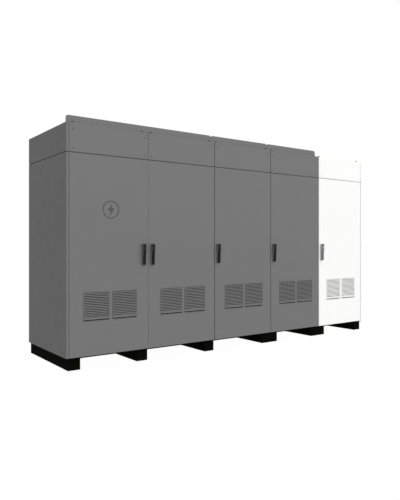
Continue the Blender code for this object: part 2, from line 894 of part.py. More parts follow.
def make_main_switch_panel():
    bay = 1
    centre, front, plate, inner = panel_plate(bay)
    width, depth, height = SWITCH_SIZE
    switch = (
        (centre - width / 2, front - depth, SWITCH_BOTTOM),
        (centre + width / 2, front + 0.001, SWITCH_BOTTOM + height),
    )
    bodies, noses = breaker_rows(centre, front, (0.820, 0.560), 0.240)
    stem = ((centre, SWITCH_AXIS_Z), front - depth - 0.001, front - depth / 2)
    part(
        "main_switch_panel",
        "panel_case",
        plate,
        ("DIFFERENCE", inner),
        ("UNION", boxes(switch, *bodies)),
        ("UNION", boxes(*noses)),
        ("DIFFERENCE", rods(1, SWITCH_STEM_BORE, 16, stem)),
    )


def switch_face():
    """World x and y of the middle of the main switch's front."""
    centre = bay_left(1) + BAY_WIDTH / 2
    return centre, BACK - SHEET - TOUCH - PANEL_STAND_OFF - SWITCH_SIZE[1]


def make_main_switch_handle():
    x, y = switch_face()
    z = SWITCH_AXIS_Z
    stem = rods(1, SWITCH_STEM_RADIUS, 16, ((x, z), y - 0.010, y + 0.020))
    boss = rods(1, 0.030, 24, ((x, z), y - 0.020, y - TOUCH))
    grip_outline = rounded_rectangle((x - 0.011, z - 0.060), (x + 0.011, z + 0.060), 0.008, 4)
    grip = prism(grip_outline, 1, y - 0.048, y - 0.015)
    part(
        "main_switch_handle",
        "switch_red",
        stem,
        ("UNION", boss),
        ("UNION", grip),
        origin=(x, y, z),
    )


def make_load_panel():
    centre, front, plate, inner = panel_plate(2)
    bodies, noses = breaker_rows(centre, front, (1.560, 1.300, 1.040, 0.780, 0.520), 0.250)
    part(
        "load_panel",
        "panel_case",
        plate,
        ("DIFFERENCE", inner),
        ("UNION", boxes(*bodies)),
        ("UNION", boxes(*noses)),
    )


def make_inverter_module(number, bay):
    """A folded case that stands on the cabinet floor, open at the rear, with two fan mouths in front."""
    centre = bay_left(bay) + BAY_WIDTH / 2
    x0, x1 = centre - INVERTER_WIDTH / 2, centre + INVERTER_WIDTH / 2
    y0 = FRONT + INVERTER_FRONT
    y1 = y0 + INVERTER_DEPTH
    z0 = FLOOR_TOP + TOUCH
    z1 = z0 + INVERTER_HEIGHT
    wall = COVER_SHEET
    fan_z = GRILLE_BOTTOM + GRILLE_HEIGHT / 2
    mouths = []
    for left in grille_lefts(bay):
        mouths.append(((left + GRILLE_WIDTH / 2, fan_z), y0 - wall, y0 + 2 * wall))
    part(
        f"inverter_module_{number}",
        "device_case",
        boxes(((x0, y0, z0), (x1, y1, z1))),
        (
            "DIFFERENCE",
            boxes(((x0 + wall, y0 + wall, z0 + wall), (x1 - wall, y1 + wall, z1 - wall))),
        ),
        ("DIFFERENCE", rods(1, 0.095, 24, *mouths)),
    )


def main():
    clear_scene()
    for name, first, count in CABINETS:
        make_carcass(name, first, count)
        make_top_box(name, first, count)
        make_rail(name, first, count)
    make_side_cover("side_cover_left", -1, 0)
    make_side_cover("side_cover_right", 1, WHITE_BAY)
    for number, (left, right) in enumerate(BEAM_SPANS, start=1):
        make_plinth_beam(number, left, right)
    for bay in range(BAY_COUNT):
        make_fascia(bay)
        make_front(bay)
    make_battery_rack()
    for number in range(MODULE_COUNT):
        make_battery_module(number)
    make_main_switch_panel()
    make_main_switch_handle()
    make_load_panel()
    make_inverter_module(1, 3)
    make_inverter_module(2, 4)


main()
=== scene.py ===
"""Looks of a row of battery and inverter cabinets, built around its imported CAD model."""

import json
import math

import bmesh
import bpy
from mathutils import Matrix, Vector


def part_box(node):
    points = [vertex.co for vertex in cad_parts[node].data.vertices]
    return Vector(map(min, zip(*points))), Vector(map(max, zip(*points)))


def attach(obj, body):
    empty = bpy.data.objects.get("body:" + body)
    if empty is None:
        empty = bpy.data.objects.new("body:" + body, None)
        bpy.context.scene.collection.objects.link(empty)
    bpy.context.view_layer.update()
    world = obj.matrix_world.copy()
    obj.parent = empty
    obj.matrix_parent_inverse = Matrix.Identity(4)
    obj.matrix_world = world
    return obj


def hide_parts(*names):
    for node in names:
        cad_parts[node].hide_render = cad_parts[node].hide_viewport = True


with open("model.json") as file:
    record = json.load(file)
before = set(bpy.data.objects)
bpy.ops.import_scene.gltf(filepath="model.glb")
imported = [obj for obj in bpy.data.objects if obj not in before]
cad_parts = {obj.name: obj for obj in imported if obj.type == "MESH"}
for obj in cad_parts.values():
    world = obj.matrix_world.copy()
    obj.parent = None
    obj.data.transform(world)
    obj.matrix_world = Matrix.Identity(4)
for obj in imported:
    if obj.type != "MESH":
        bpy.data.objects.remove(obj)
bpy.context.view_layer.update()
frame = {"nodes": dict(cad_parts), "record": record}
NODES = frame["nodes"]
SLOT_OF = {s["node"]: s["material_slot"] for s in frame["record"]["subparts"]}
BAYS = (1, 2, 3, 4, 5)
WHITE_BAY = 5
ROW = "cabinets"  # the body that stands still
CABINETS = {"main": (1, 2), "smart_load": (3,), "inverter_1": (4,), "inverter_2": (5,)}

# Directions that a screw or a lamp faces
FROM_FRONT = (0, -1, 0)
FROM_BACK = (0, 1, 0)
UP = (0, 0, 1)
DOWN = (0, 0, -1)

# Places read from the CAD model
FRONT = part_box("door_1")[0].y
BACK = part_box("carcass_main")[1].y
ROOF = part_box("top_box_main")[1].z
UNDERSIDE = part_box("carcass_main")[0].z
DOOR_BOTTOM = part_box("door_1")[0].z
DOOR_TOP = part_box("door_1")[1].z

# Sizes that the CAD model uses
DOOR_GAP = 0.002  # half of the gap between neighbouring doors
HANDLE_AXIS = 1.085  # height of the handles' spindles
COVER_RADIUS = 0.012  # rounded front corner of the end covers

PANEL_SCREW = (0.0055, 0.0022)  # radius and height of the heads that hold the outer plates


def bay_edges(bay):
    low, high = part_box(f"door_{bay}")
    return low.x - DOOR_GAP, high.x + DOOR_GAP


def bay_middle(bay):
    return sum(bay_edges(bay)) / 2


def opens_left(bay):
    """True for the door hinged at its left edge."""
    return bay == 1


def behind(depth):
    """World y at that depth behind the door face; negative is in front of it."""
    return FRONT + depth


def cabinet_of(bay):
    return next(name for name, bays in CABINETS.items() if bay in bays)


# Materials


class Finish:
    """A procedural material: tone variation, fine texture, edge wear and surface relief."""

    def __init__(self, name, colour, roughness, metallic=0.0):
        self.material = bpy.data.materials.new(name)
        self.material.use_nodes = True
        self.tree = self.material.node_tree
        self.shader = self.tree.nodes["Principled BSDF"]
        self.place = self.node("TexCoord").outputs["Object"]
        self.base = tuple(colour)
        self.colour = (*self.base, 1.0)
        self.roughness = roughness
        self.relief = None
        self.shader.inputs["Metallic"].default_value = metallic
        self.material.diffuse_color = (*self.base, 1.0)

    def node(self, kind, inputs=None, **settings):
        made = self.tree.nodes.new("ShaderNode" + kind)
        for key, value in settings.items():
            setattr(made, key, value)
        for key, value in (inputs or {}).items():
            self.plug(made.inputs[key], value)
        return made

    def plug(self, socket, value):
        if isinstance(value, bpy.types.NodeSocket):
            self.tree.links.new(value, socket)
        else:
            socket.default_value = value

    def noise(self, scale, detail=3.0, stretch=None):
        place = self.place
        if stretch:
            place = self.node("Mapping", {"Vector": place, "Scale": stretch}).outputs["Vector"]
        return self.node("TexNoise", {"Vector": place, "Scale": scale, "Detail": detail}).outputs["Fac"]

    def spread(self, value, low, high, to_low=0.0, to_high=1.0):
        inputs = {"Value": value, "From Min": low, "From Max": high, "To Min": to_low, "To Max": to_high}
        return self.node("MapRange", inputs).outputs["Result"]

    def times(self, first, second):
        return self.node("Math", {0: first, 1: second}, operation="MULTIPLY").outputs[0]

    def shade(self, factor, colour):
        """Moves the colour towards another one where factor is high."""
        colour = (*colour, 1.0) if len(colour) == 3 else colour
        inputs = {"Factor": factor, 6: self.colour, 7: colour}
        self.colour = self.node("Mix", inputs, data_type="RGBA").outputs[2]
        return self

    def mottle(self, scale, amount, detail=3.0, stretch=None):
        """Lighter and darker areas around the base colour."""
        field = self.noise(scale, detail, stretch)
        lighter = [min(1.0, c * (1 + amount)) for c in self.base]
        darker = [c * (1 - amount) for c in self.base]
        self.shade(self.spread(field, 0.5, 0.75, 0.0, 0.8), lighter)
        self.shade(self.spread(field, 0.5, 0.25, 0.0, 0.8), darker)
        return self

    def wear(self, colour, amount, radius=0.0015):
        """Rubbed edges, broken up by noise."""
        rounded = self.node("Bevel", {"Radius": radius}, samples=3).outputs["Normal"]
        flat = self.node("NewGeometry").outputs["Normal"]
        dot = self.node("VectorMath", {0: rounded, 1: flat}, operation="DOT_PRODUCT").outputs["Value"]
        edge = self.spread(dot, 0.99, 0.85, 0.0, amount)
        chips = self.spread(self.noise(160.0, 4.0), 0.42, 0.62)
        return self.shade(self.times(edge, chips), colour)

    def dust(self, colour, amount, low, high):
        """A film that thickens from height high down to height low."""
        height = self.node("SeparateXYZ", {0: self.place}).outputs["Z"]
        film = self.spread(height, high, low, 0.0, amount)
        return self.shade(self.times(film, self.spread(self.noise(14.0, 5.0), 0.3, 0.7)), colour)

    def polish(self, scale, amount, stretch=None):
        """Roughness that varies by amount each way."""
        field = self.noise(scale, 4.0, stretch)
        self.roughness = self.spread(field, 0.3, 0.7, self.roughness - amount, self.roughness + amount)
        return self

    def bump(self, field, height, strength=0.5):
        inputs = {"Height": field, "Distance": height, "Strength": strength}
        if self.relief is not None:
            inputs["Normal"] = self.relief
        self.relief = self.node("Bump", inputs).outputs["Normal"]
        return self

    def set(self, **values):
        """Plain numbers on the shader's own sockets."""
        for key, value in values.items():
            self.shader.inputs[key.replace("_", " ")].default_value = value
        return self

    def done(self):
        self.plug(self.shader.inputs["Base Color"], self.colour)
        self.plug(self.shader.inputs["Roughness"], self.roughness)
        if self.relief is not None:
            self.plug(self.shader.inputs["Normal"], self.relief)
        return self.material


def powder_coat(name, colour, roughness, worn):
    """Fine-textured powder coat: orange peel, a faint tone drift and slightly rubbed edges."""
    made = Finish(name, colour, roughness)
    made.mottle(1.7, 0.018, 4.0).mottle(700.0, 0.035, 1.0)
    made.dust([c * 0.85 + 0.015 for c in colour], 0.06, 0.10, 0.50)
    made.wear(worn, 0.16)
    made.polish(9.0, 0.05)
    made.bump(made.noise(520.0, 2.0), 0.00012, 0.30)
    made.bump(made.noise(1900.0, 1.0), 0.00004, 0.25)
    made.set(Specular_IOR_Level=0.20)
    return made.done()


def black_coat(name, colour):
    """Matt black coat of the beams, a little scuffed along its edges."""
    made = Finish(name, colour, 0.80)
    made.mottle(12.0, 0.12, 5.0).wear((0.020, 0.020, 0.019), 0.25, 0.0020)
    made.polish(30.0, 0.08)
    made.bump(made.noise(480.0, 2.0), 0.00015, 0.4)
    made.set(Specular_IOR_Level=0.02)
    return made.done()


def moulded(name, colour, roughness, worn, specular=0.4):
    """Moulded plastic or thick lacquer with a spark-eroded grain."""
    made = Finish(name, colour, roughness)
    made.mottle(30.0, 0.05).mottle(1400.0, 0.06, 1.0)
    made.wear(worn, 0.30, 0.0010)
    made.polish(60.0, 0.06)
    made.bump(made.noise(1500.0, 2.0), 0.00005, 0.40)
    made.set(Specular_IOR_Level=specular)
    return made.done()


def zinc_plate(name, colour, roughness):
    """Galvanised sheet: large crystals with different tone and gloss."""
    made = Finish(name, colour, roughness, metallic=1.0)
    crystals = made.node("TexVoronoi", {"Vector": made.place, "Scale": 90.0}).outputs["Color"]
    value = made.node("SeparateColor", {0: crystals}).outputs[0]
    made.shade(made.spread(value, 0.0, 1.0, 0.0, 0.45), [c * 0.72 for c in colour])
    made.mottle(6.0, 0.06)
    made.roughness = made.spread(value, 0.0, 1.0, roughness - 0.08, roughness + 0.12)
    made.bump(made.noise(900.0, 2.0), 0.00003, 0.3)
    return made.done()


def black_steel(name, colour):
    """Blackened fasteners with a trace of bare steel on their edges."""
    made = Finish(name, colour, 0.42, metallic=0.6)
    made.mottle(220.0, 0.12).wear((0.30, 0.30, 0.31), 0.5, 0.0006)
    made.polish(300.0, 0.10)
    made.bump(made.noise(1800.0, 2.0), 0.00003, 0.5)
    return made.done()


def rubber(name, colour):
    made = Finish(name, colour, 0.75)
    made.mottle(60.0, 0.15).polish(120.0, 0.08)
    made.bump(made.noise(1100.0, 3.0), 0.00015, 0.5)
    made.set(Specular_IOR_Level=0.25)
    return made.done()


def fleece(name, colour):
    """Filter mat: tangled fibres."""
    made = Finish(name, colour, 0.95)
    made.mottle(420.0, 0.35, 6.0, (1.0, 1.0, 2.2))
    made.bump(made.noise(800.0, 6.0, (1.0, 1.0, 2.2)), 0.0006, 0.9)
    made.set(Specular_IOR_Level=0.1)
    return made.done()


def metal(name, colour, roughness):
    made = Finish(name, colour, roughness, metallic=1.0)
    made.mottle(40.0, 0.10, 4.0, (1.0, 1.0, 0.1)).polish(50.0, 0.08, (1.0, 1.0, 0.05))
    made.bump(made.noise(700.0, 2.0, (1.0, 1.0, 0.05)), 0.00003, 0.4)
    return made.done()


def screen(name, colour):
    """Dark cover glass over a display that is switched off."""
    made = Finish(name, colour, 0.08)
    made.mottle(25.0, 0.15).polish(40.0, 0.03)
    made.set(Coat_Weight=0.6, Coat_Roughness=0.05)
    return made.done()


def lamp_lens(name, colour):
    made = Finish(name, colour, 0.25)
    made.mottle(300.0, 0.10).polish(200.0, 0.04)
    made.set(Emission_Color=(*colour, 1.0), Emission_Strength=0.6)
    return made.done()


GREY = (0.1470, 0.1470, 0.1474)
WHITE = (0.84, 0.84, 0.83)
FINISHES = {}
for name, make, *look in (
    ("grey_paint", powder_coat, GREY, 0.55, (0.24, 0.24, 0.24)),
    ("white_paint", powder_coat, WHITE, 0.50, (0.70, 0.70, 0.69)),
    ("black_paint", black_coat, (0.0021, 0.0024, 0.0009)),
    ("handle_grey", moulded, (0.125, 0.125, 0.128), 0.50, (0.10, 0.10, 0.10)),
    ("handle_black", moulded, (0.0062, 0.0062, 0.0066), 0.50, (0.03, 0.03, 0.03), 0.12),
    ("handle_light", moulded, (0.50, 0.485, 0.49), 0.50, (0.55, 0.55, 0.55)),
    ("handle_mid", moulded, (0.175, 0.170, 0.175), 0.45, (0.28, 0.28, 0.28), 0.3),
    ("zinc_steel", zinc_plate, (0.52, 0.53, 0.54), 0.38),
    ("module_case", powder_coat, (0.045, 0.047, 0.050), 0.50, (0.14, 0.14, 0.15)),
    ("device_case", powder_coat, (0.30, 0.31, 0.32), 0.50, (0.42, 0.42, 0.43)),
    ("panel_case", moulded, (0.33, 0.34, 0.35), 0.50, (0.45, 0.45, 0.46)),
    ("switch_red", moulded, (0.55, 0.02, 0.015), 0.40, (0.70, 0.12, 0.08)),
):
    FINISHES[name] = make(name, *look)
# The lifting rails' grey is the grey paint lightened by 6%: painted light that offsets the shade on the
# rails.
RAIL_PAINT_WITH_PAINTED_LIGHT = powder_coat("rail_paint_painted_light", [1.06 * c for c in GREY], 0.55, (0.24, 0.24, 0.24))
SPINDLE = black_steel("spindle_steel", (0.050, 0.050, 0.052))
BOLT = black_steel("black_bolt", (0.035, 0.035, 0.037))
GREY_SCREW = black_steel("grey_screw", (0.045, 0.045, 0.046))
LIGHT_SCREW = metal("plated_screw", (0.62, 0.61, 0.60), 0.35)
# Black rubber for seals and trims, also used for dark marks in painted shade: vent slots, louvre openings
# and punched holes.
GASKET_AND_SHADE = rubber("gasket", (0.014, 0.014, 0.014))
# Near-black filter mat: a real mat whose tone is painted shade for the gaps between the louvres.
MAT_IN_PAINTED_SHADE = fleece("filter_mat", (0.012, 0.010, 0.011))
# Joint seal tones: each about 0.4 of its bay's paint, painted shade of the joint they fill.
JOINT_SHADE_GREY = rubber("joint_seal_shade_grey", (0.062, 0.062, 0.062))
JOINT_SHADE_LIGHT = rubber("joint_seal_shade_light", (0.34, 0.34, 0.335))
EMBLEM = moulded("emblem", (0.050, 0.050, 0.051), 0.5, (0.10, 0.10, 0.10))
COPPER = metal("busbar_copper", (0.80, 0.42, 0.26), 0.30)
ORANGE = moulded("orange_insulation", (0.70, 0.16, 0.02), 0.45, (0.80, 0.30, 0.10))
DUCT = moulded("cable_duct", (0.24, 0.25, 0.26), 0.55, (0.34, 0.34, 0.35))
DISPLAY = screen("display_glass", (0.012, 0.014, 0.018))
LENS = lamp_lens("status_lens", (0.05, 0.60, 0.12))
# Black plastic for toggles and fittings, also the key slot's bar in painted shade.
TOGGLE_AND_SHADE = moulded("toggle_black", (0.020, 0.020, 0.022), 0.40, (0.06, 0.06, 0.06))


def screw_finish(bay):
    return LIGHT_SCREW if bay == WHITE_BAY else GREY_SCREW


# A darker copy of the bay's paint, in painted shade, for the joint seals and the handle gaskets.
def joint_shade_finish(bay):
    return JOINT_SHADE_LIGHT if bay == WHITE_BAY else JOINT_SHADE_GREY


# Shapes


def arc(centre, radius, start, end, steps):
    angles = [math.radians(start + (end - start) * i / steps) for i in range(steps + 1)]
    return [(centre[0] + radius * math.cos(a), centre[1] + radius * math.sin(a)) for a in angles]


def rounded(low, high, radius, steps=4):
    (x0, y0), (x1, y1) = low, high
    r = radius
    return (
        arc((x1 - r, y0 + r), r, -90, 0, steps)
        + arc((x1 - r, y1 - r), r, 0, 90, steps)
        + arc((x0 + r, y1 - r), r, 90, 180, steps)
        + arc((x0 + r, y0 + r), r, 180, 270, steps)
    )


class Shape:
    """Collects closed solids into one mesh and turns them into a piece."""

    def __init__(self):
        self.mesh = bmesh.new()

    def skin(self, rings, looped=False):
        """Joins rings of points; the ends are capped unless the rings run round in a loop."""
        made = [[self.mesh.verts.new(point) for point in ring] for ring in rings]
        count = len(made[0])
        pairs = list(zip(made, made[1:]))
        if looped:
            pairs.append((made[-1], made[0]))
        else:
            self.mesh.faces.new(made[0])
            self.mesh.faces.new(made[-1])
        for first, second in pairs:
            for i in range(count):
                j = (i + 1) % count
                self.mesh.faces.new((first[i], first[j], second[j], second[i]))
        return self

    @staticmethod
    def lift(outline, axis, height):
        """Gives points of a flat outline their place along the axis that they lack."""
        return [(*point[:axis], height, *point[axis:]) for point in outline]

    def prism(self, outline, axis, low, high):
        return self.skin([self.lift(outline, axis, low), self.lift(outline, axis, high)])

    def plate(self, low, high, radius, front, back, steps=4):
        """A rounded rectangle that faces the front or the rear, between two depths."""
        return self.prism(rounded(low, high, radius, steps), 1, front, back)

    def box(self, low, high):
        outline = ((low[0], low[1]), (high[0], low[1]), (high[0], high[1]), (low[0], high[1]))
        return self.prism(outline, 2, low[2], high[2])

    def rim(self, outer, inner, axis, low, high):
        """A closed frame between two outlines with the same number of points."""
        rings = [
            self.lift(outer, axis, low),
            self.lift(outer, axis, high),
            self.lift(inner, axis, high),
            self.lift(inner, axis, low),
        ]
        return self.skin(rings, looped=True)

    def lathe(self, centre, direction, profile, sides):
        """Rings of (radius, height) around a line from centre, closed at both ends."""
        turn = Vector(direction).to_track_quat("Z", "Y").to_matrix().to_4x4()
        matrix = Matrix.Translation(centre) @ turn
        rings = []
        for radius, height in profile:
            angles = [2 * math.pi * (i + 0.5) / sides for i in range(sides)]
            ring = [Vector((radius * math.cos(a), radius * math.sin(a), height)) for a in angles]
            rings.append([matrix @ point for point in ring])
        return self.skin(rings)

    def piece(self, name, body, finish, bevel, segments=2, replaces=()):
        """Makes the object. finish is one of the CAD model's material slots, or a material."""
        slot = finish if isinstance(finish, str) else None
        bmesh.ops.recalc_face_normals(self.mesh, faces=self.mesh.faces)
        mesh = bpy.data.meshes.new(name)
        self.mesh.to_mesh(mesh)
        self.mesh.free()
        mesh.materials.append(FINISHES[slot] if slot else finish)
        mesh.shade_smooth()
        mesh.set_sharp_from_angle(angle=math.radians(35))
        obj = bpy.data.objects.new(name, mesh)
        bpy.context.scene.collection.objects.link(obj)
        if bevel:
            add_bevel(obj, bevel, segments)
        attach(obj, body)
        if replaces:
            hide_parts(*replaces)


def add_bevel(obj, width, segments):
    bevel = obj.modifiers.new("soft_edges", "BEVEL")
    bevel.width = width
    bevel.segments = segments
    bevel.limit_method = "ANGLE"
    bevel.angle_limit = math.radians(35)
    bevel.harden_normals = True


def screw_head(shape, centre, direction, radius, height):
    """A domed head with a round socket sunk into it."""
    profile = [
        (radius, -height * 0.4),
        (radius, height * 0.45),
        (radius * 0.86, height * 0.85),
        (radius * 0.62, height),
        (radius * 0.50, height),
        (radius * 0.45, height * 0.35),
    ]
    shape.lathe(centre, direction, profile, 18)


def make_screws(name, body, finish, places, direction, radius, height):
    """A group of equal screws as one piece."""
    shape = Shape()
    for place in places:
        screw_head(shape, place, direction, radius, height)
    shape.piece(name, body, finish, 0.0)


def hex_bolt(shape, centre, direction, across, height):
    """A hex head on a washer, with its chamfered top, stud end and washer as one stack."""
    corner = across / math.sqrt(3)
    shape.lathe(centre, direction, [(across * 0.72, 0.0), (across * 0.72, height * 0.22)], 28)
    profile = [(corner, height * 0.20), (corner, height * 0.90), (corner * 0.86, height)]
    shape.lathe(centre, direction, profile, 6)
    stud = [(across * 0.31, height * 0.9), (across * 0.31, height * 1.24), (across * 0.25, height * 1.32)]
    shape.lathe(centre, direction, stud, 16)


# CAD nodes that stay in view: a finish and softened edges

EDGE_WIDTH = {
    "handle_dish": 0.0014,
    "handle_lever": 0.0017,
    "handle_spindle": 0.0004,
    "plinth_beam": 0.0015,
    "lifting_rail": 0.0010,
    "battery_module": 0.0015,
    "inverter_module": 0.0010,
    "main_switch_handle": 0.0020,
    "fascia": 0.0010,
    "door": 0.0008,
}


def node_finish(name):
    slot = SLOT_OF[name]
    if name.startswith("handle_spindle"):
        return SPINDLE
    # The rails take the lightened grey, which is painted light.
    if name.startswith("lifting_rail") and slot == "grey_paint":
        return RAIL_PAINT_WITH_PAINTED_LIGHT
    return FINISHES[slot]


def dress_cad_nodes():
    for name, obj in NODES.items():
        if name.startswith("vent_grilles"):
            continue
        obj.data.materials.clear()
        obj.data.materials.append(node_finish(name))
        weld = obj.modifiers.new("weld", "WELD")
        weld.merge_threshold = 0.00002
        width = next((w for key, w in EDGE_WIDTH.items() if name.startswith(key)), 0.0006)
        add_bevel(obj, width, 3 if name.startswith("handle") else 2)


# Grilles: the louvred cover outside, the filter housing inside

GRILLE_GAP = 0.033  # between the two grilles of a door
BAR = 0.004  # side and top bars of a cover
SLOT_LOW = 0.0016  # the slot in a cover's foot, above its lower edge
SLOT_HIGH = 0.0105
BAND_HIGH = 0.0240  # top of the plain band under the louvres
LOUVRE_PITCH = 0.0155


def grille_corners(bay):
    """(left, right) of each of a door's two grilles."""
    low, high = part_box(f"vent_grilles_{bay}")
    width = (high.x - low.x - GRILLE_GAP) / 2
    return ((low.x, low.x + width), (high.x - width, high.x))


def louvre_profile(front, z):
    """Section of one slat, which slopes down towards the front."""
    foot = ((0.0004, -0.0058), (0.0001, -0.0050), (0.0003, -0.0042))
    top = ((0.0044, 0.0032), (0.0050, 0.0026), (0.0018, -0.0050))
    return [(front + depth, z + rise) for depth, rise in foot + top]


def make_grilles(bay):
    low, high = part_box(f"vent_grilles_{bay}")
    body = f"door_{bay}"
    slot = SLOT_OF[f"vent_grilles_{bay}"]
    front = low.y
    back = behind(-0.0003)
    bottom, top = low.z + BAND_HIGH, high.z - BAR
    count = round((top - bottom) / LOUVRE_PITCH)
    pitch = (top - bottom) / count
    cover, mats, housing, inner_mats = Shape(), Shape(), Shape(), Shape()
    for left, right in grille_corners(bay):
        outer = rounded((left, low.z + SLOT_HIGH), (right, high.z), 0.0035)
        inner = rounded((left + BAR, bottom), (right - BAR, top), 0.001)
        cover.rim(outer, inner, 1, front, back)
        outer = rounded((left, low.z), (right, low.z + SLOT_HIGH + 0.001), 0.0008)
        inner = rounded((left + 0.0015, low.z + SLOT_LOW), (right - 0.0015, low.z + SLOT_HIGH), 0.0004)
        cover.rim(outer, inner, 1, front + 0.0006, back)
        for i in range(count):
            slat = louvre_profile(front, bottom + (i + 0.5) * pitch)
            cover.prism(slat, 0, left + BAR * 0.8, right - BAR * 0.8)
        # The dark mats behind the louvres paint the shade in the gaps between them.
        mat_low = (left + 0.002, behind(-0.0014), low.z + 0.001)
        mat_high = (right - 0.002, behind(-0.0005), high.z - 0.002)
        mats.box(mat_low, mat_high)
        make_filter_housing(housing, inner_mats, left, right, low.z, high.z)
    cover.piece(f"grille_covers_{bay}", body, slot, 0.0003, 1, (f"vent_grilles_{bay}",))
    mats.piece(f"filter_mats_{bay}", body, MAT_IN_PAINTED_SHADE, 0.0)
    housing.piece(f"filter_housings_{bay}", body, TOGGLE_AND_SHADE, 0.0005)
    inner_mats.piece(f"filter_mats_inside_{bay}", body, MAT_IN_PAINTED_SHADE, 0.0008)


def make_filter_housing(housing, mats, left, right, low, high):
    """The moulded frame behind a grille, with a finger guard over its mat."""
    inset = 0.006
    frame_width = 0.012
    mat_inset = 0.008
    guard_bars = 6
    half_bar = 0.0015
    x0, x1, z0, z1 = left + inset, right - inset, low + inset, high - inset
    outer = rounded((x0, z0), (x1, z1), 0.008)
    inner = rounded((x0 + frame_width, z0 + frame_width), (x1 - frame_width, z1 - frame_width), 0.004)
    housing.rim(outer, inner, 1, behind(0.0023), behind(0.017))
    m0, m1, n0, n1 = x0 + mat_inset, x1 - mat_inset, z0 + mat_inset, z1 - mat_inset
    mats.box((m0, behind(0.004), n0), (m1, behind(0.012), n1))
    for i in range(1, guard_bars):
        x = x0 + (x1 - x0) * i / guard_bars
        z = z0 + (z1 - z0) * i / guard_bars
        housing.box((x - half_bar, behind(0.0125), n0), (x + half_bar, behind(0.0155), n1))
        housing.box((m0, behind(0.0130), z - half_bar), (m1, behind(0.0160), z + half_bar))
    for x in (x0 + 0.006, x1 - 0.006):
        for z in (z0 + 0.006, z1 - 0.006):
            screw_head(housing, (x, behind(0.017), z), FROM_BACK, 0.004, 0.002)


# Doors

SKIN_BACK = 0.0019  # depth at which a fitting sits on the back of the door skin
UPRIGHT_INSET = 0.100  # from a bay's edge to the middle of each upright
UPRIGHT_DEPTH = 0.0190
LOW_STAY = (0.742, 0.778)  # heights of the third cross stay; the CAD has the two above it
LOCK_HEIGHT = 1.074


def upright_profile(x):
    """Hat section of an upright, open towards the door skin."""
    half = ((0.020, SKIN_BACK), (0.020, 0.0034), (0.0115, 0.0034), (0.0105, UPRIGHT_DEPTH))
    left = [(x - width, behind(depth)) for width, depth in half]
    right = [(x + width, behind(depth)) for width, depth in reversed(half)]
    return left + right


def make_door_seal(bay, x0, x1):
    """A foam seal round the door's inside, which passes inboard of the handle's spindle."""
    hinge_inset, handle_inset, width = 0.046, 0.069, 0.010
    left, right = (hinge_inset, handle_inset) if opens_left(bay) else (handle_inset, hinge_inset)
    low, high = (x0 + left, DOOR_BOTTOM + 0.036), (x1 - right, DOOR_TOP - 0.036)
    outer = rounded(low, high, 0.012)
    inner = rounded((low[0] + width, low[1] + width), (high[0] - width, high[1] - width), 0.006)
    seal = Shape().rim(outer, inner, 1, behind(SKIN_BACK), behind(0.012))
    seal.piece(f"door_seal_{bay}", f"door_{bay}", GASKET_AND_SHADE, 0.003, 3)


def make_door_fittings(bay):
    """Seal, uprights and lowest cross stay on the inside of a door."""
    body = f"door_{bay}"
    slot = SLOT_OF[f"door_{bay}"]
    x0, x1 = bay_edges(bay)
    make_door_seal(bay, x0, x1)
    uprights = (x0 + UPRIGHT_INSET, x1 - UPRIGHT_INSET)
    stays = Shape()
    for x in uprights:
        stays.prism(upright_profile(x), 2, DOOR_BOTTOM + 0.060, DOOR_TOP - 0.060)
    stays.box((x0 + 0.112, behind(SKIN_BACK), LOW_STAY[0]), (x1 - 0.112, behind(0.0120), LOW_STAY[1]))
    stays.piece(f"door_stays_{bay}", body, slot, 0.0008)
    # Dark discs on the uprights: painted shade of their punched holes.
    plugs = Shape()
    for x in uprights:
        for i in range(32):
            z = DOOR_BOTTOM + 0.090 + i * 0.052
            plugs.lathe((x, behind(0.0186), z), FROM_BACK, [(0.0048, 0.0), (0.0048, 0.0006)], 12)
    plugs.piece(f"door_stay_hole_shade_{bay}", body, GASKET_AND_SHADE, 0.0)


def make_handle_details(bay):
    """Gasket, fixing screw and lock insert of a swing handle."""
    low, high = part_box(f"handle_dish_{bay}")
    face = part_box(f"handle_lever_{bay}")[0].y
    x = (low.x + high.x) / 2
    lip = 0.0008
    outer = rounded((low.x - lip, low.z - lip), (high.x + lip, high.z + lip), 0.0085)
    hole = arc((x, HANDLE_AXIS), 0.0118, -90, 270, len(outer))[:-1]
    pad = Shape().rim(outer, hole, 1, behind(-0.0011), behind(-0.0001))
    # The gasket takes the same darker copy of the bay's paint, in painted shade.
    pad.piece(f"handle_gasket_{bay}", f"door_{bay}", joint_shade_finish(bay), 0.0002)
    places = [(x, behind(-0.0080), low.z + 0.0075)]
    make_screws(f"handle_screw_{bay}", f"door_{bay}", BOLT, places, FROM_FRONT, 0.0038, 0.0016)
    profile = [(0.0078, -0.002), (0.0078, 0.0003), (0.0072, 0.0007), (0.0060, 0.0007), (0.0058, 0.0001)]
    lock = Shape().lathe((x, face, LOCK_HEIGHT), FROM_FRONT, profile, 28)
    lock_finish = LIGHT_SCREW if bay == WHITE_BAY else BOLT
    lock.piece(f"handle_lock_{bay}", f"handle_lever_{bay}", lock_finish, 0.0)
    # A dark bar in the lock face: painted shade of the key slot.
    half_width, half_height = 0.0006, 0.0035
    low = (x - half_width, face - 0.0003, LOCK_HEIGHT - half_height)
    high = (x + half_width, face + 0.001, LOCK_HEIGHT + half_height)
    Shape().box(low, high).piece(f"handle_keyway_shade_{bay}", f"handle_lever_{bay}", TOGGLE_AND_SHADE, 0.0)


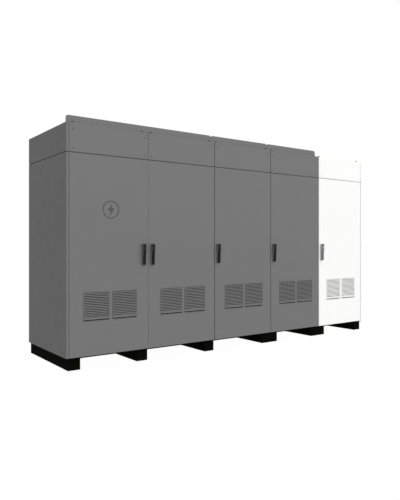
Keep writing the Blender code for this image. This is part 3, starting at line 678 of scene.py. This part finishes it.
def make_emblem():
    """A plain ring around a lightning bolt, in thin relief on the first door."""
    centre = x, z = bay_edges(1)[0] + 0.405, 1.430
    outer = arc(centre, 0.0820, 0, 360, 72)[:-1]
    inner = arc(centre, 0.0730, 0, 360, 72)[:-1]
    bolt = [
        (0.012, 0.058),
        (-0.034, -0.008),
        (-0.004, -0.008),
        (-0.014, -0.058),
        (0.034, 0.012),
        (0.003, 0.012),
    ]
    front, back = behind(-0.0012), behind(0.0004)
    shape = Shape().rim(outer, inner, 1, front, back)
    shape.prism([(x + u, z + v) for u, v in bolt], 1, front, back)
    shape.piece("emblem", "door_1", EMBLEM, 0.0002)


# Outside of the cabinets


def make_fascia_screws():
    inset = 0.038
    for bay in BAYS:
        x0, x1 = bay_edges(bay)
        places = [(x, FRONT, z) for x in (x0 + inset, x1 - inset) for z in (1.957, 2.129)]
        make_screws(f"fascia_screws_{bay}", ROW, screw_finish(bay), places, FROM_FRONT, 0.0055, 0.0018)


def joint_outline(bay, depth):
    """Line of the joint seal in plan, a depth behind the faces.

    It turns the rounded corner of an end cover."""
    left, right = bay_edges(bay)
    line = [(left, behind(depth))]
    if bay == BAYS[0]:
        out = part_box("side_cover_left")[0].x
        corner = (out + COVER_RADIUS, behind(COVER_RADIUS))
        line = [(out + depth, BACK - 0.002)]
        line += arc(corner, COVER_RADIUS - depth, 180, 270, 6)
    if bay == BAYS[-1]:
        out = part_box("side_cover_right")[1].x
        corner = (out - COVER_RADIUS, behind(COVER_RADIUS))
        line += arc(corner, COVER_RADIUS - depth, 270, 360, 6)
        return line + [(out - depth, BACK - 0.002)]
    return line + [(right, behind(depth))]


def make_seam_fillers():
    """Seals in the joint under the top boxes, whose tone is painted shade, the centre fin, and the black
    strip under the doors, which is partly painted shade.
    """
    joint_low, joint_high = DOOR_TOP + 0.0008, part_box("fascia_1")[0].z
    for bay in BAYS:
        outline = joint_outline(bay, 0.0030) + joint_outline(bay, 0.0070)[::-1]
        seal = Shape().prism(outline, 2, joint_low, joint_high)
        seal.piece(f"joint_seal_{bay}", ROW, joint_shade_finish(bay), 0.0)
    x = bay_edges(1)[1]
    fin = Shape()
    for half, low, high, front, back in (
        (0.0014, UNDERSIDE + 0.006, joint_high, 0.0012, 0.0312),
        (0.0019, joint_high, ROOF - 0.001, 0.0008, 0.0220),
    ):
        fin.box((x - half, behind(front), low), (x + half, behind(back), high))
    fin.piece("centre_fin", ROW, "grey_paint", 0.0003)
    # Black strip under the doors: partly the real black base, partly painted shade of the recess under the
    # doors.
    section = ((0.0010, -0.0004), (0.0010, 0.0064), (0.0035, 0.0068), (0.0210, 0.0068), (0.0210, -0.0004))
    profile = [(behind(depth), UNDERSIDE + height) for depth, height in section]
    strip = Shape().prism(profile, 0, bay_edges(BAYS[0])[0], bay_edges(BAYS[-1])[1])
    strip.piece("sill_strip", ROW, "black_paint", 0.0005)


def make_edge_strips():
    """Squared edge profiles on the two doors that meet without a post between them."""
    door_radius = 0.006
    skin = 0.00005
    for bay, side in ((1, 1), (2, -1)):
        low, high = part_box(f"door_{bay}")
        edge = high.x if side > 0 else low.x
        centre = (edge - side * door_radius, behind(door_radius))
        start = 270 if side > 0 else 180
        round_edge = arc(centre, 0.0057, start, start + 90, 8)
        corner = [
            (edge - side * skin, centre[1]),
            (edge - side * skin, behind(0.0005)),
            (edge - side * 0.0005, behind(skin)),
            (centre[0], behind(skin)),
        ]
        outline = round_edge + (corner if side > 0 else corner[::-1])
        strip = Shape().prism(outline, 2, DOOR_BOTTOM + 0.0004, DOOR_TOP - 0.0004)
        strip.piece(f"door_edge_strip_{bay}", f"door_{bay}", "grey_paint", 0.0)


def make_rail_bolts():
    inset = 0.048
    for name, bays in CABINETS.items():
        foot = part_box("lifting_rail_" + name)[0].z + 0.006
        shape = Shape()
        for bay in bays:
            x0, x1 = bay_edges(bay)
            for x in (x0 + inset, x1 - inset):
                hex_bolt(shape, (x, behind(0.039), foot), UP, 0.018, 0.011)
        shape.piece(f"rail_bolts_{name}", ROW, BOLT, 0.0004)


def make_opening_trims():
    """Rubber profiles pushed onto the edges of the door openings."""
    frame_width = 0.040
    z0, z1 = UNDERSIDE + frame_width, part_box("carcass_main")[1].z - frame_width
    for bay in BAYS:
        x0, x1 = bay_edges(bay)
        outer = rounded((x0 + 0.034, z0 - 0.006), (x1 - 0.034, z1 + 0.006), 0.004)
        inner = rounded((x0 + 0.0425, z0 + 0.0025), (x1 - 0.0425, z1 - 0.0025), 0.002)
        shape = Shape().rim(outer, inner, 1, behind(0.0275), behind(0.0360))
        shape.piece(f"opening_trim_{bay}", ROW, GASKET_AND_SHADE, 0.0012)


REAR_FACE = BACK + 0.0022  # outer face of the rear panels


def make_rear():
    """Removable rear panels with their screws."""
    for bay in BAYS:
        slot = SLOT_OF["carcass_" + cabinet_of(bay)]
        x0, x1 = bay_edges(bay)
        panel = Shape().plate((x0 + 0.018, 0.135), (x1 - 0.018, 1.895), 0.006, BACK - 0.001, REAR_FACE)
        panel.piece(f"rear_panel_{bay}", ROW, slot, 0.0009)
        places = [(x, REAR_FACE, 0.165 + i * 0.340) for x in (x0 + 0.034, x1 - 0.034) for i in range(6)]
        make_screws(f"rear_screws_{bay}", ROW, screw_finish(bay), places, FROM_BACK, *PANEL_SCREW)


def make_rear_louvres():
    """Pressed outlet louvres high on every rear panel, dark slabs under them as painted shade of their
    openings, and two stiffening beads below them.
    """
    offset = 0.165  # of each column from the middle of its bay
    sunk = 0.0008
    section = ((-sunk, 0.0), (0.0060, 0.0015), (0.0068, 0.0030), (0.0062, 0.0046), (-sunk, 0.0165))
    heights = [1.560 + i * 0.026 for i in range(10)]
    for bay in BAYS:
        slot = SLOT_OF["carcass_" + cabinet_of(bay)]
        columns = [bay_middle(bay) + side * offset for side in (-1, 1)]
        shape = Shape()
        for centre in columns:
            for z in heights:
                profile = [(REAR_FACE + out, z + rise) for out, rise in section]
                shape.prism(profile, 0, centre - 0.120, centre + 0.120)
            bead = ((centre - 0.011, 0.300), (centre + 0.011, 1.430))
            shape.plate(*bead, 0.0105, REAR_FACE - sunk, REAR_FACE + 0.0030, 6)
        shape.piece(f"rear_louvres_{bay}", ROW, slot, 0.0012)
        # Dark slabs under the louvres: painted shade of the openings behind them.
        slot_shade = Shape()
        for centre in columns:
            for z in heights:
                low = (centre - 0.117, REAR_FACE - 0.0006, z - 0.0026)
                slot_shade.box(low, (centre + 0.117, REAR_FACE + 0.0005, z + 0.0004))
        slot_shade.piece(f"rear_louvre_slot_shade_{bay}", ROW, GASKET_AND_SHADE, 0.0)


def make_roof_plates():
    """Blanked cable entries on the roof, towards the rear."""
    half = 0.210
    lip = 0.002
    y0, y1 = BACK - 0.270, BACK - 0.110
    top = ROOF + 0.0040
    for bay in BAYS:
        slot = SLOT_OF["top_box_" + cabinet_of(bay)]
        x = bay_middle(bay)
        outline = rounded((x - half - lip, y0 - lip), (x + half + lip, y1 + lip), 0.010)
        seal = Shape().prism(outline, 2, ROOF - 0.0005, ROOF + 0.0018)
        seal.piece(f"gland_plate_seal_{bay}", ROW, GASKET_AND_SHADE, 0.0004)
        outline = rounded((x - half, y0), (x + half, y1), 0.009)
        plate = Shape().prism(outline, 2, ROOF + 0.0017, top)
        plate.piece(f"gland_plate_{bay}", ROW, slot, 0.0006)
        places = [(x + u, y, top) for u in (-0.195, 0.0, 0.195) for y in (y0 + 0.014, y1 - 0.014)]
        make_screws(f"gland_plate_screws_{bay}", ROW, screw_finish(bay), places, UP, *PANEL_SCREW)


def make_floor_plates():
    """Cable entry plates under the cabinets, between the beams."""
    face = UNDERSIDE - 0.0022
    for bay in BAYS:
        x = bay_middle(bay)
        outline = rounded((x - 0.200, -0.10), (x + 0.200, 0.34), 0.010)
        shape = Shape().prism(outline, 2, face, UNDERSIDE + 0.0005)
        for u in (-0.185, 0.185):
            for y in (-0.085, 0.12, 0.325):
                screw_head(shape, (x + u, y, face), DOWN, *PANEL_SCREW)
        shape.piece(f"floor_plate_{bay}", ROW, "zinc_steel", 0.0005)


# Battery bay

MODULE_FACE = 0.036  # a module's front panel, behind the tips of its grips
LINK_PLACES = (0.050, 0.120)  # its two power sockets, to the right of its middle
LINK_HEIGHT = 0.118


def make_battery_fronts():
    """Vents drawn as dark slots in painted shade, display, lamps, sockets and screws on the front panel of
    each battery module.
    """
    for number in (1, 2, 3, 4):
        low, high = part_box(f"battery_module_{number}")
        x = (low.x + high.x) / 2
        face = low.y + MODULE_FACE
        # Dark slots on the panel: painted shade of the vent openings.
        vent_shade = Shape()
        for i in range(9):
            z = low.z + 0.040 + i * 0.010
            vent_shade.plate((x - 0.150, z), (x - 0.020, z + 0.0045), 0.002, face - 0.0008, face + 0.001, 3)
        vent_shade.piece(f"module_vent_shade_{number}", ROW, GASKET_AND_SHADE, 0.0)
        label = ((x - 0.150, low.z + 0.165), (x + 0.150, low.z + 0.235))
        plate = Shape().plate(*label, 0.006, face - 0.0022, face + 0.001)
        plate.piece(f"module_label_plate_{number}", ROW, DUCT, 0.0006)
        window = ((x - 0.135, low.z + 0.178), (x - 0.045, low.z + 0.222))
        glass = Shape().plate(*window, 0.004, face - 0.0034, face)
        glass.piece(f"module_display_{number}", ROW, DISPLAY, 0.0005)
        lamps = Shape()
        for i in range(5):
            centre = (x - 0.020 + i * 0.014, face - 0.0022, low.z + 0.200)
            lamps.lathe(centre, FROM_FRONT, [(0.0032, -0.001), (0.0032, 0.0006), (0.0020, 0.0016)], 14)
        lamps.piece(f"module_lamps_{number}", ROW, LENS, 0.0)
        plugs = Shape()
        profile = [(0.020, -0.001), (0.020, 0.010), (0.016, 0.012), (0.016, 0.024), (0.013, 0.026)]
        for u in LINK_PLACES:
            plugs.lathe((x + u, face, low.z + LINK_HEIGHT), FROM_FRONT, profile, 24)
        for u in (0.040, 0.060, 0.080, 0.100):
            plugs.box((x + u, face - 0.003, low.z + 0.050), (x + u + 0.014, face + 0.001, low.z + 0.062))
        colour = ORANGE if number % 2 else TOGGLE_AND_SHADE
        plugs.piece(f"module_sockets_{number}", ROW, colour, 0.0006)
        sides, heights = (low.x + 0.010, high.x - 0.010), (low.z + 0.030, high.z - 0.030)
        places = [(side, face, z) for side in sides for z in heights]
        make_screws(f"module_screws_{number}", ROW, LIGHT_SCREW, places, FROM_FRONT, 0.0065, 0.0040)


def make_busbars():
    """Insulated links that join each module to the next one."""
    for number in (1, 2, 3):
        low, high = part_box(f"battery_module_{number}")
        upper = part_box(f"battery_module_{number + 1}")[0]
        x = (low.x + high.x) / 2 + LINK_PLACES[number % 2]
        face = low.y + MODULE_FACE
        link = Shape()
        link.box((x - 0.009, face - 0.034, low.z + 0.108), (x + 0.009, face - 0.029, upper.z + 0.128))
        for z in (low.z + LINK_HEIGHT, upper.z + LINK_HEIGHT):
            link.lathe((x, face - 0.024, z), FROM_FRONT, [(0.010, 0.0), (0.010, 0.014), (0.007, 0.016)], 20)
        link.piece(f"module_link_{number}", ROW, ORANGE, 0.0012)


# Panels


def breaker_row(bodies, toggles, terminals, x0, x1, face, low):
    """Poles of a row of breakers on their blocks: parting grooves, toggles and terminal screws."""
    pole = 0.0178
    shoulder = face + 0.0190
    blocks = (
        (face - 0.0012, face + 0.001, low + 0.0235, low + 0.0665),
        (shoulder, face + 0.0212, low + 0.002, low + 0.020),
        (shoulder, face + 0.0212, low + 0.070, low + 0.088),
    )
    count = int((x1 - x0) / pole)
    start = (x0 + x1 - count * pole) / 2
    for i in range(count):
        left = start + i * pole
        right = left + pole
        for front, back, bottom, top in blocks:
            bodies.box((left + 0.0004, front, bottom), (right - 0.0004, back, top))
        toggles.box((left + 0.005, face - 0.009, low + 0.046), (right - 0.005, face - 0.001, low + 0.056))
        for z in (low + 0.011, low + 0.079):
            screw_head(terminals, (left + pole / 2, shoulder, z), FROM_FRONT, 0.0034, 0.0012)


def make_duct(shape, x0, x1, face, low, high):
    """A slotted cable duct that stands on the panel, with its fingers showing at both edges."""
    finger, lip = 0.010, 0.0015
    front, back = face - 0.049, face - 0.003
    shape.box((x0 + 0.003, face - 0.052, low), (x1 - 0.003, face, high))
    along_x = x1 - x0 > high - low
    length = max(x1 - x0, high - low)
    count = int(length / 0.020)
    for i in range(count):
        at = i * length / count + 0.005
        if along_x:
            shape.box((x0 + at, front, low - lip), (x0 + at + finger, back, high + lip))
        else:
            shape.box((x0 + lip, front, low + at), (x1 - lip, back, low + at + finger))


def make_panels():
    """Breakers, toggles, terminals and ducts on both panels; rows are the heights of the breakers."""
    for name, rows, half, bay in (
        ("main_switch_panel", (0.820, 0.560), 0.240, 2),
        ("load_panel", (1.560, 1.300, 1.040, 0.780, 0.520), 0.250, 3),
    ):
        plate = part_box(name)[1].y - 0.060
        middle = bay_middle(bay)
        bodies, toggles, terminals, ducts = Shape(), Shape(), Shape(), Shape()
        for z in rows:
            breaker_row(bodies, toggles, terminals, middle - half, middle + half, plate - 0.070, z)
            make_duct(ducts, middle - 0.270, middle + 0.270, plate, z - 0.062, z - 0.026)
        top = max(rows) + 0.120
        for side in (-1, 1):
            x0, x1 = sorted((middle + side * 0.285, middle + side * 0.325))
            make_duct(ducts, x0, x1, plate, min(rows) - 0.10, top + 0.02)
        bodies.piece(f"{name}_poles", ROW, "panel_case", 0.0005)
        toggles.piece(f"{name}_toggles", ROW, TOGGLE_AND_SHADE, 0.0008)
        terminals.piece(f"{name}_terminals", ROW, LIGHT_SCREW, 0.0)
        ducts.piece(f"{name}_ducts", ROW, DUCT, 0.0004)


def make_main_switch():
    """Cover plate, busbars and terminals around the rotary main switch."""
    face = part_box("main_switch_panel")[0].y
    low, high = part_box("main_switch_handle")
    x = (low.x + high.x) / 2
    z = (low.z + high.z) / 2
    outer = rounded((x - 0.075, z - 0.085), (x + 0.075, z + 0.085), 0.012)
    hole = arc((x, z), 0.034, -90, 270, len(outer))[:-1]
    cover = Shape().rim(outer, hole, 1, face - 0.0030, face + 0.001)
    cover.piece("main_switch_plate", ROW, DUCT, 0.0008)
    width = 0.032
    bar_face = face + 0.070
    bars, screws = Shape(), Shape()
    for i in (-1, 0, 1):
        left = x + i * 0.085 - width / 2
        for bottom, top in ((1.700, 1.820), (1.539, 1.701)):
            bars.box((left, bar_face, bottom), (left + width, face + 0.076, top))
        for height in (1.580, 1.790):
            hex_bolt(screws, (left + width / 2, bar_face, height), FROM_FRONT, 0.016, 0.009)
    bars.piece("main_switch_busbars", ROW, COPPER, 0.0008)
    screws.piece("main_switch_bolts", ROW, LIGHT_SCREW, 0.0003)
    supports = Shape()
    for height in (1.650, 1.745):
        supports.box((x - 0.130, face + 0.0765, height - 0.014), (x + 0.130, face + 0.161, height + 0.014))
    supports.piece("busbar_supports", ROW, TOGGLE_AND_SHADE, 0.0015)


# Inverters


def fan_guard(shape, x, z, face):
    """Wire rings in front of a fan on four flat spokes."""
    half_wire = 0.0012
    for radius in (0.030, 0.046, 0.062, 0.078, 0.094):
        outer = arc((x, z), radius + half_wire, 0, 360, 40)[:-1]
        inner = arc((x, z), radius - half_wire, 0, 360, 40)[:-1]
        shape.rim(outer, inner, 1, face - 0.0045, face - 0.0020)
    half_spoke = 0.0014
    start, end = 0.018, 0.112
    for turn in range(4):
        a = math.radians(45 + 90 * turn)
        u, v = math.cos(a), math.sin(a)
        strip = [
            (x + u * reach - side * v * half_spoke, z + v * reach + side * u * half_spoke)
            for reach, side in ((start, 1), (end, 1), (end, -1), (start, -1))
        ]
        shape.prism(strip, 1, face - 0.0022, face - 0.0002)


def fan(shape, x, z, face):
    """Square frame, hub and seven twisted blades."""
    half = 0.105
    outer = rounded((x - half, z - half), (x + half, z + half), 0.010)
    inner = arc((x, z), 0.091, -90, 270, len(outer))[:-1]
    shape.rim(outer, inner, 1, face + 0.004, face + 0.040)
    hub = [(0.034, 0.0), (0.034, 0.024), (0.028, 0.028)]
    shape.lathe((x, face + 0.038, z), FROM_FRONT, hub, 32)
    edges = ((-0.40, 0.012), (0.36, 0.030), (0.36, 0.032), (-0.40, 0.014))
    for blade in range(7):
        start = math.radians(blade * 360 / 7)
        rings = []
        for radius, twist, chord in ((0.030, 0.0, 0.55), (0.060, 0.16, 0.75), (0.087, 0.34, 0.75)):
            ring = []
            for u, depth in edges:
                a = start + twist + u * chord
                ring.append((x + radius * math.cos(a), face + depth, z + radius * math.sin(a)))
            rings.append(ring)
        shape.skin(rings)


def make_fans(number, bay, face):
    """Two fans with guards, behind the grilles of the door."""
    low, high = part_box(f"vent_grilles_{bay}")
    z = (low.z + high.z) / 2
    guards, fans = Shape(), Shape()
    for left, right in grille_corners(bay):
        x = (left + right) / 2
        fan_guard(guards, x, z, face)
        fan(fans, x, z, face)
    guards.piece(f"fan_guards_{number}", ROW, "zinc_steel", 0.0)
    fans.piece(f"fans_{number}", ROW, TOGGLE_AND_SHADE, 0.0)


def make_inverter_display(number, middle, face):
    """Display in its bezel, four buttons under it and three lamps over it."""
    outer = rounded((middle - 0.130, 1.100), (middle + 0.130, 1.280), 0.012)
    inner = rounded((middle - 0.112, 1.118), (middle + 0.112, 1.262), 0.006)
    bezel = Shape().rim(outer, inner, 1, face - 0.006, face + 0.001)
    button = [(0.009, -0.001), (0.009, 0.004), (0.007, 0.005)]
    for i in range(4):
        bezel.lathe((middle - 0.075 + i * 0.050, face, 1.075), FROM_FRONT, button, 20)
    bezel.piece(f"display_bezel_{number}", ROW, TOGGLE_AND_SHADE, 0.0012)
    window = ((middle - 0.113, 1.117), (middle + 0.113, 1.263))
    glass = Shape().plate(*window, 0.006, face - 0.003, face + 0.001)
    glass.piece(f"display_{number}", ROW, DISPLAY, 0.0004)
    lens = [(0.004, -0.001), (0.004, 0.001), (0.0025, 0.0022)]
    lamps = Shape()
    for i in range(3):
        lamps.lathe((middle - 0.018 + i * 0.018, face, 1.310), FROM_FRONT, lens, 16)
    lamps.piece(f"display_lamps_{number}", ROW, LENS, 0.0)


def make_inverter_grips(number, middle, face):
    """Bent round bars to carry the module by."""
    radius = 0.006
    sides = 12
    bends = ((0.0, 0.900), (0.026, 0.906), (0.030, 0.920), (0.030, 1.030), (0.026, 1.044), (0.0, 1.050))
    path = [(face - reach, z) for reach, z in bends]
    grips = Shape()
    for side in (-1, 1):
        x = middle + side * 0.265
        rings = []
        for i, (y, z) in enumerate(path):
            before = Vector(path[max(0, i - 1)])
            after = Vector(path[min(len(path) - 1, i + 1)])
            way = (after - before).normalized()
            across = Vector((way.y, -way.x)) * radius
            ring = []
            for k in range(sides):
                a = 2 * math.pi * k / sides
                u, v = math.cos(a), math.sin(a)
                ring.append((x + radius * u, y + across.x * v, z + across.y * v))
            rings.append(ring)
        grips.skin(rings)
    grips.piece(f"inverter_grips_{number}", ROW, "handle_black", 0.0)


def make_inverter_front(number, bay):
    low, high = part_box(f"inverter_module_{number}")
    face = low.y
    middle = (low.x + high.x) / 2
    make_fans(number, bay, face)
    make_inverter_display(number, middle, face)
    make_inverter_grips(number, middle, face)
    sides = (low.x + 0.016, high.x - 0.016)
    places = [(x, face, low.z + 0.040 + i * 0.335) for x in sides for i in range(5)]
    make_screws(f"inverter_screws_{number}", ROW, LIGHT_SCREW, places, FROM_FRONT, 0.005, 0.002)
    ribs = Shape()
    for i in range(9):
        z = 0.180 + i * 0.020
        ribs.plate((middle - 0.200, z), (middle + 0.200, z + 0.007), 0.003, face - 0.0015, face + 0.001, 3)
    ribs.piece(f"inverter_louvres_{number}", ROW, "device_case", 0.0006)


# Stage, lights and camera

AMBIENT = 0.545  # strength of the light from all round
SUN = 2.68  # strength of the key light
SUN_FROM = (0.20, -1.0, 0.45)
SUN_SPREAD = 95  # degrees; a broad, soft light
FLOOR_HALF = 60.0

# Camera that matches the photograph
FOCAL_LENGTH = 38.60
LENS_SHIFT = -0.0119
CAMERA_X = -1.8053  # from the left edge of the first bay
CAMERA_Y = -4.4638  # from the door faces
CAMERA_HEIGHT = 1.1146
CAMERA_TURN = -35.769  # degrees; below 0 it looks to the right of straight at the doors


def self_lit(name, seen, bounce, share, even):
    """A pale surface that the camera sees as nearly white, with only a faint shadow on it.

    The camera sees a glow and a small share of the light. The object meets a dim bounce and an even glow."""
    material = bpy.data.materials.new(name)
    material.use_nodes = True
    tree = material.node_tree
    tree.nodes.clear()

    def grey(kind, value):
        made = tree.nodes.new("ShaderNode" + kind)
        made.inputs["Color"].default_value = (value, value, value, 1.0)
        return made.outputs[0]

    def join(kind, first, second):
        made = tree.nodes.new("ShaderNode" + kind)
        tree.links.new(first, made.inputs[-2])
        tree.links.new(second, made.inputs[-1])
        return made

    others = join("AddShader", grey("BsdfDiffuse", bounce), grey("Emission", even))
    camera = join("AddShader", grey("Emission", seen), grey("BsdfDiffuse", share))
    mix = join("MixShader", others.outputs[0], camera.outputs[0])
    path = tree.nodes.new("ShaderNodeLightPath")
    out = tree.nodes.new("ShaderNodeOutputMaterial")
    tree.links.new(path.outputs["Is Camera Ray"], mix.inputs[0])
    tree.links.new(mix.outputs[0], out.inputs["Surface"])
    return material


def make_floor():
    mesh = bpy.data.meshes.new("floor")
    half = FLOOR_HALF
    corners = [(-half, -half), (half, -half), (half, half), (-half, half)]
    mesh.from_pydata([(x, y, -0.0005) for x, y in corners], [], [(0, 1, 2, 3)])
    floor = bpy.data.objects.new("floor", mesh)
    mesh.materials.append(self_lit("pale_floor", 0.978, 0.10, 0.022, 0.50))
    bpy.context.scene.collection.objects.link(floor)


def make_world():
    """Plain white behind the object, and a softer even light from all round."""
    world = bpy.data.worlds.new("studio")
    bpy.context.scene.world = world
    world.use_nodes = True
    tree = world.node_tree
    back = tree.nodes["Background"]
    path = tree.nodes.new("ShaderNodeLightPath")
    mix = tree.nodes.new("ShaderNodeMix")
    mix.data_type = "FLOAT"
    mix.inputs[2].default_value = AMBIENT
    mix.inputs[3].default_value = 1.0
    tree.links.new(path.outputs["Is Camera Ray"], mix.inputs[0])
    tree.links.new(mix.outputs[0], back.inputs["Strength"])
    back.inputs["Color"].default_value = (1.0, 1.0, 1.0, 1.0)


def make_light():
    lamp = bpy.data.lights.new("key", "SUN")
    lamp.energy = SUN
    lamp.angle = math.radians(SUN_SPREAD)
    key = bpy.data.objects.new("key", lamp)
    key.rotation_mode = "QUATERNION"
    key.rotation_quaternion = Vector(SUN_FROM).to_track_quat("Z", "Y")
    bpy.context.scene.collection.objects.link(key)


def make_camera():
    data = bpy.data.cameras.new("camera")
    data.sensor_width = 36.0
    data.lens = FOCAL_LENGTH
    data.shift_y = LENS_SHIFT
    data.clip_end = 200.0
    camera = bpy.data.objects.new("camera", data)
    camera.location = (bay_edges(1)[0] + CAMERA_X, FRONT + CAMERA_Y, CAMERA_HEIGHT)
    camera.rotation_euler = (math.radians(90), 0.0, math.radians(CAMERA_TURN))
    bpy.context.scene.collection.objects.link(camera)
    bpy.context.scene.camera = camera


def main():
    bpy.context.scene.view_settings.view_transform = "Standard"
    dress_cad_nodes()
    for bay in BAYS:
        make_grilles(bay)
        make_door_fittings(bay)
        make_handle_details(bay)
    make_emblem()
    make_fascia_screws()
    make_seam_fillers()
    make_edge_strips()
    make_rail_bolts()
    make_opening_trims()
    make_rear()
    make_rear_louvres()
    make_roof_plates()
    make_floor_plates()
    make_battery_fronts()
    make_busbars()
    make_panels()
    make_main_switch()
    make_inverter_front(1, 4)
    make_inverter_front(2, 5)
    make_floor()
    make_world()
    make_light()
    make_camera()


main()
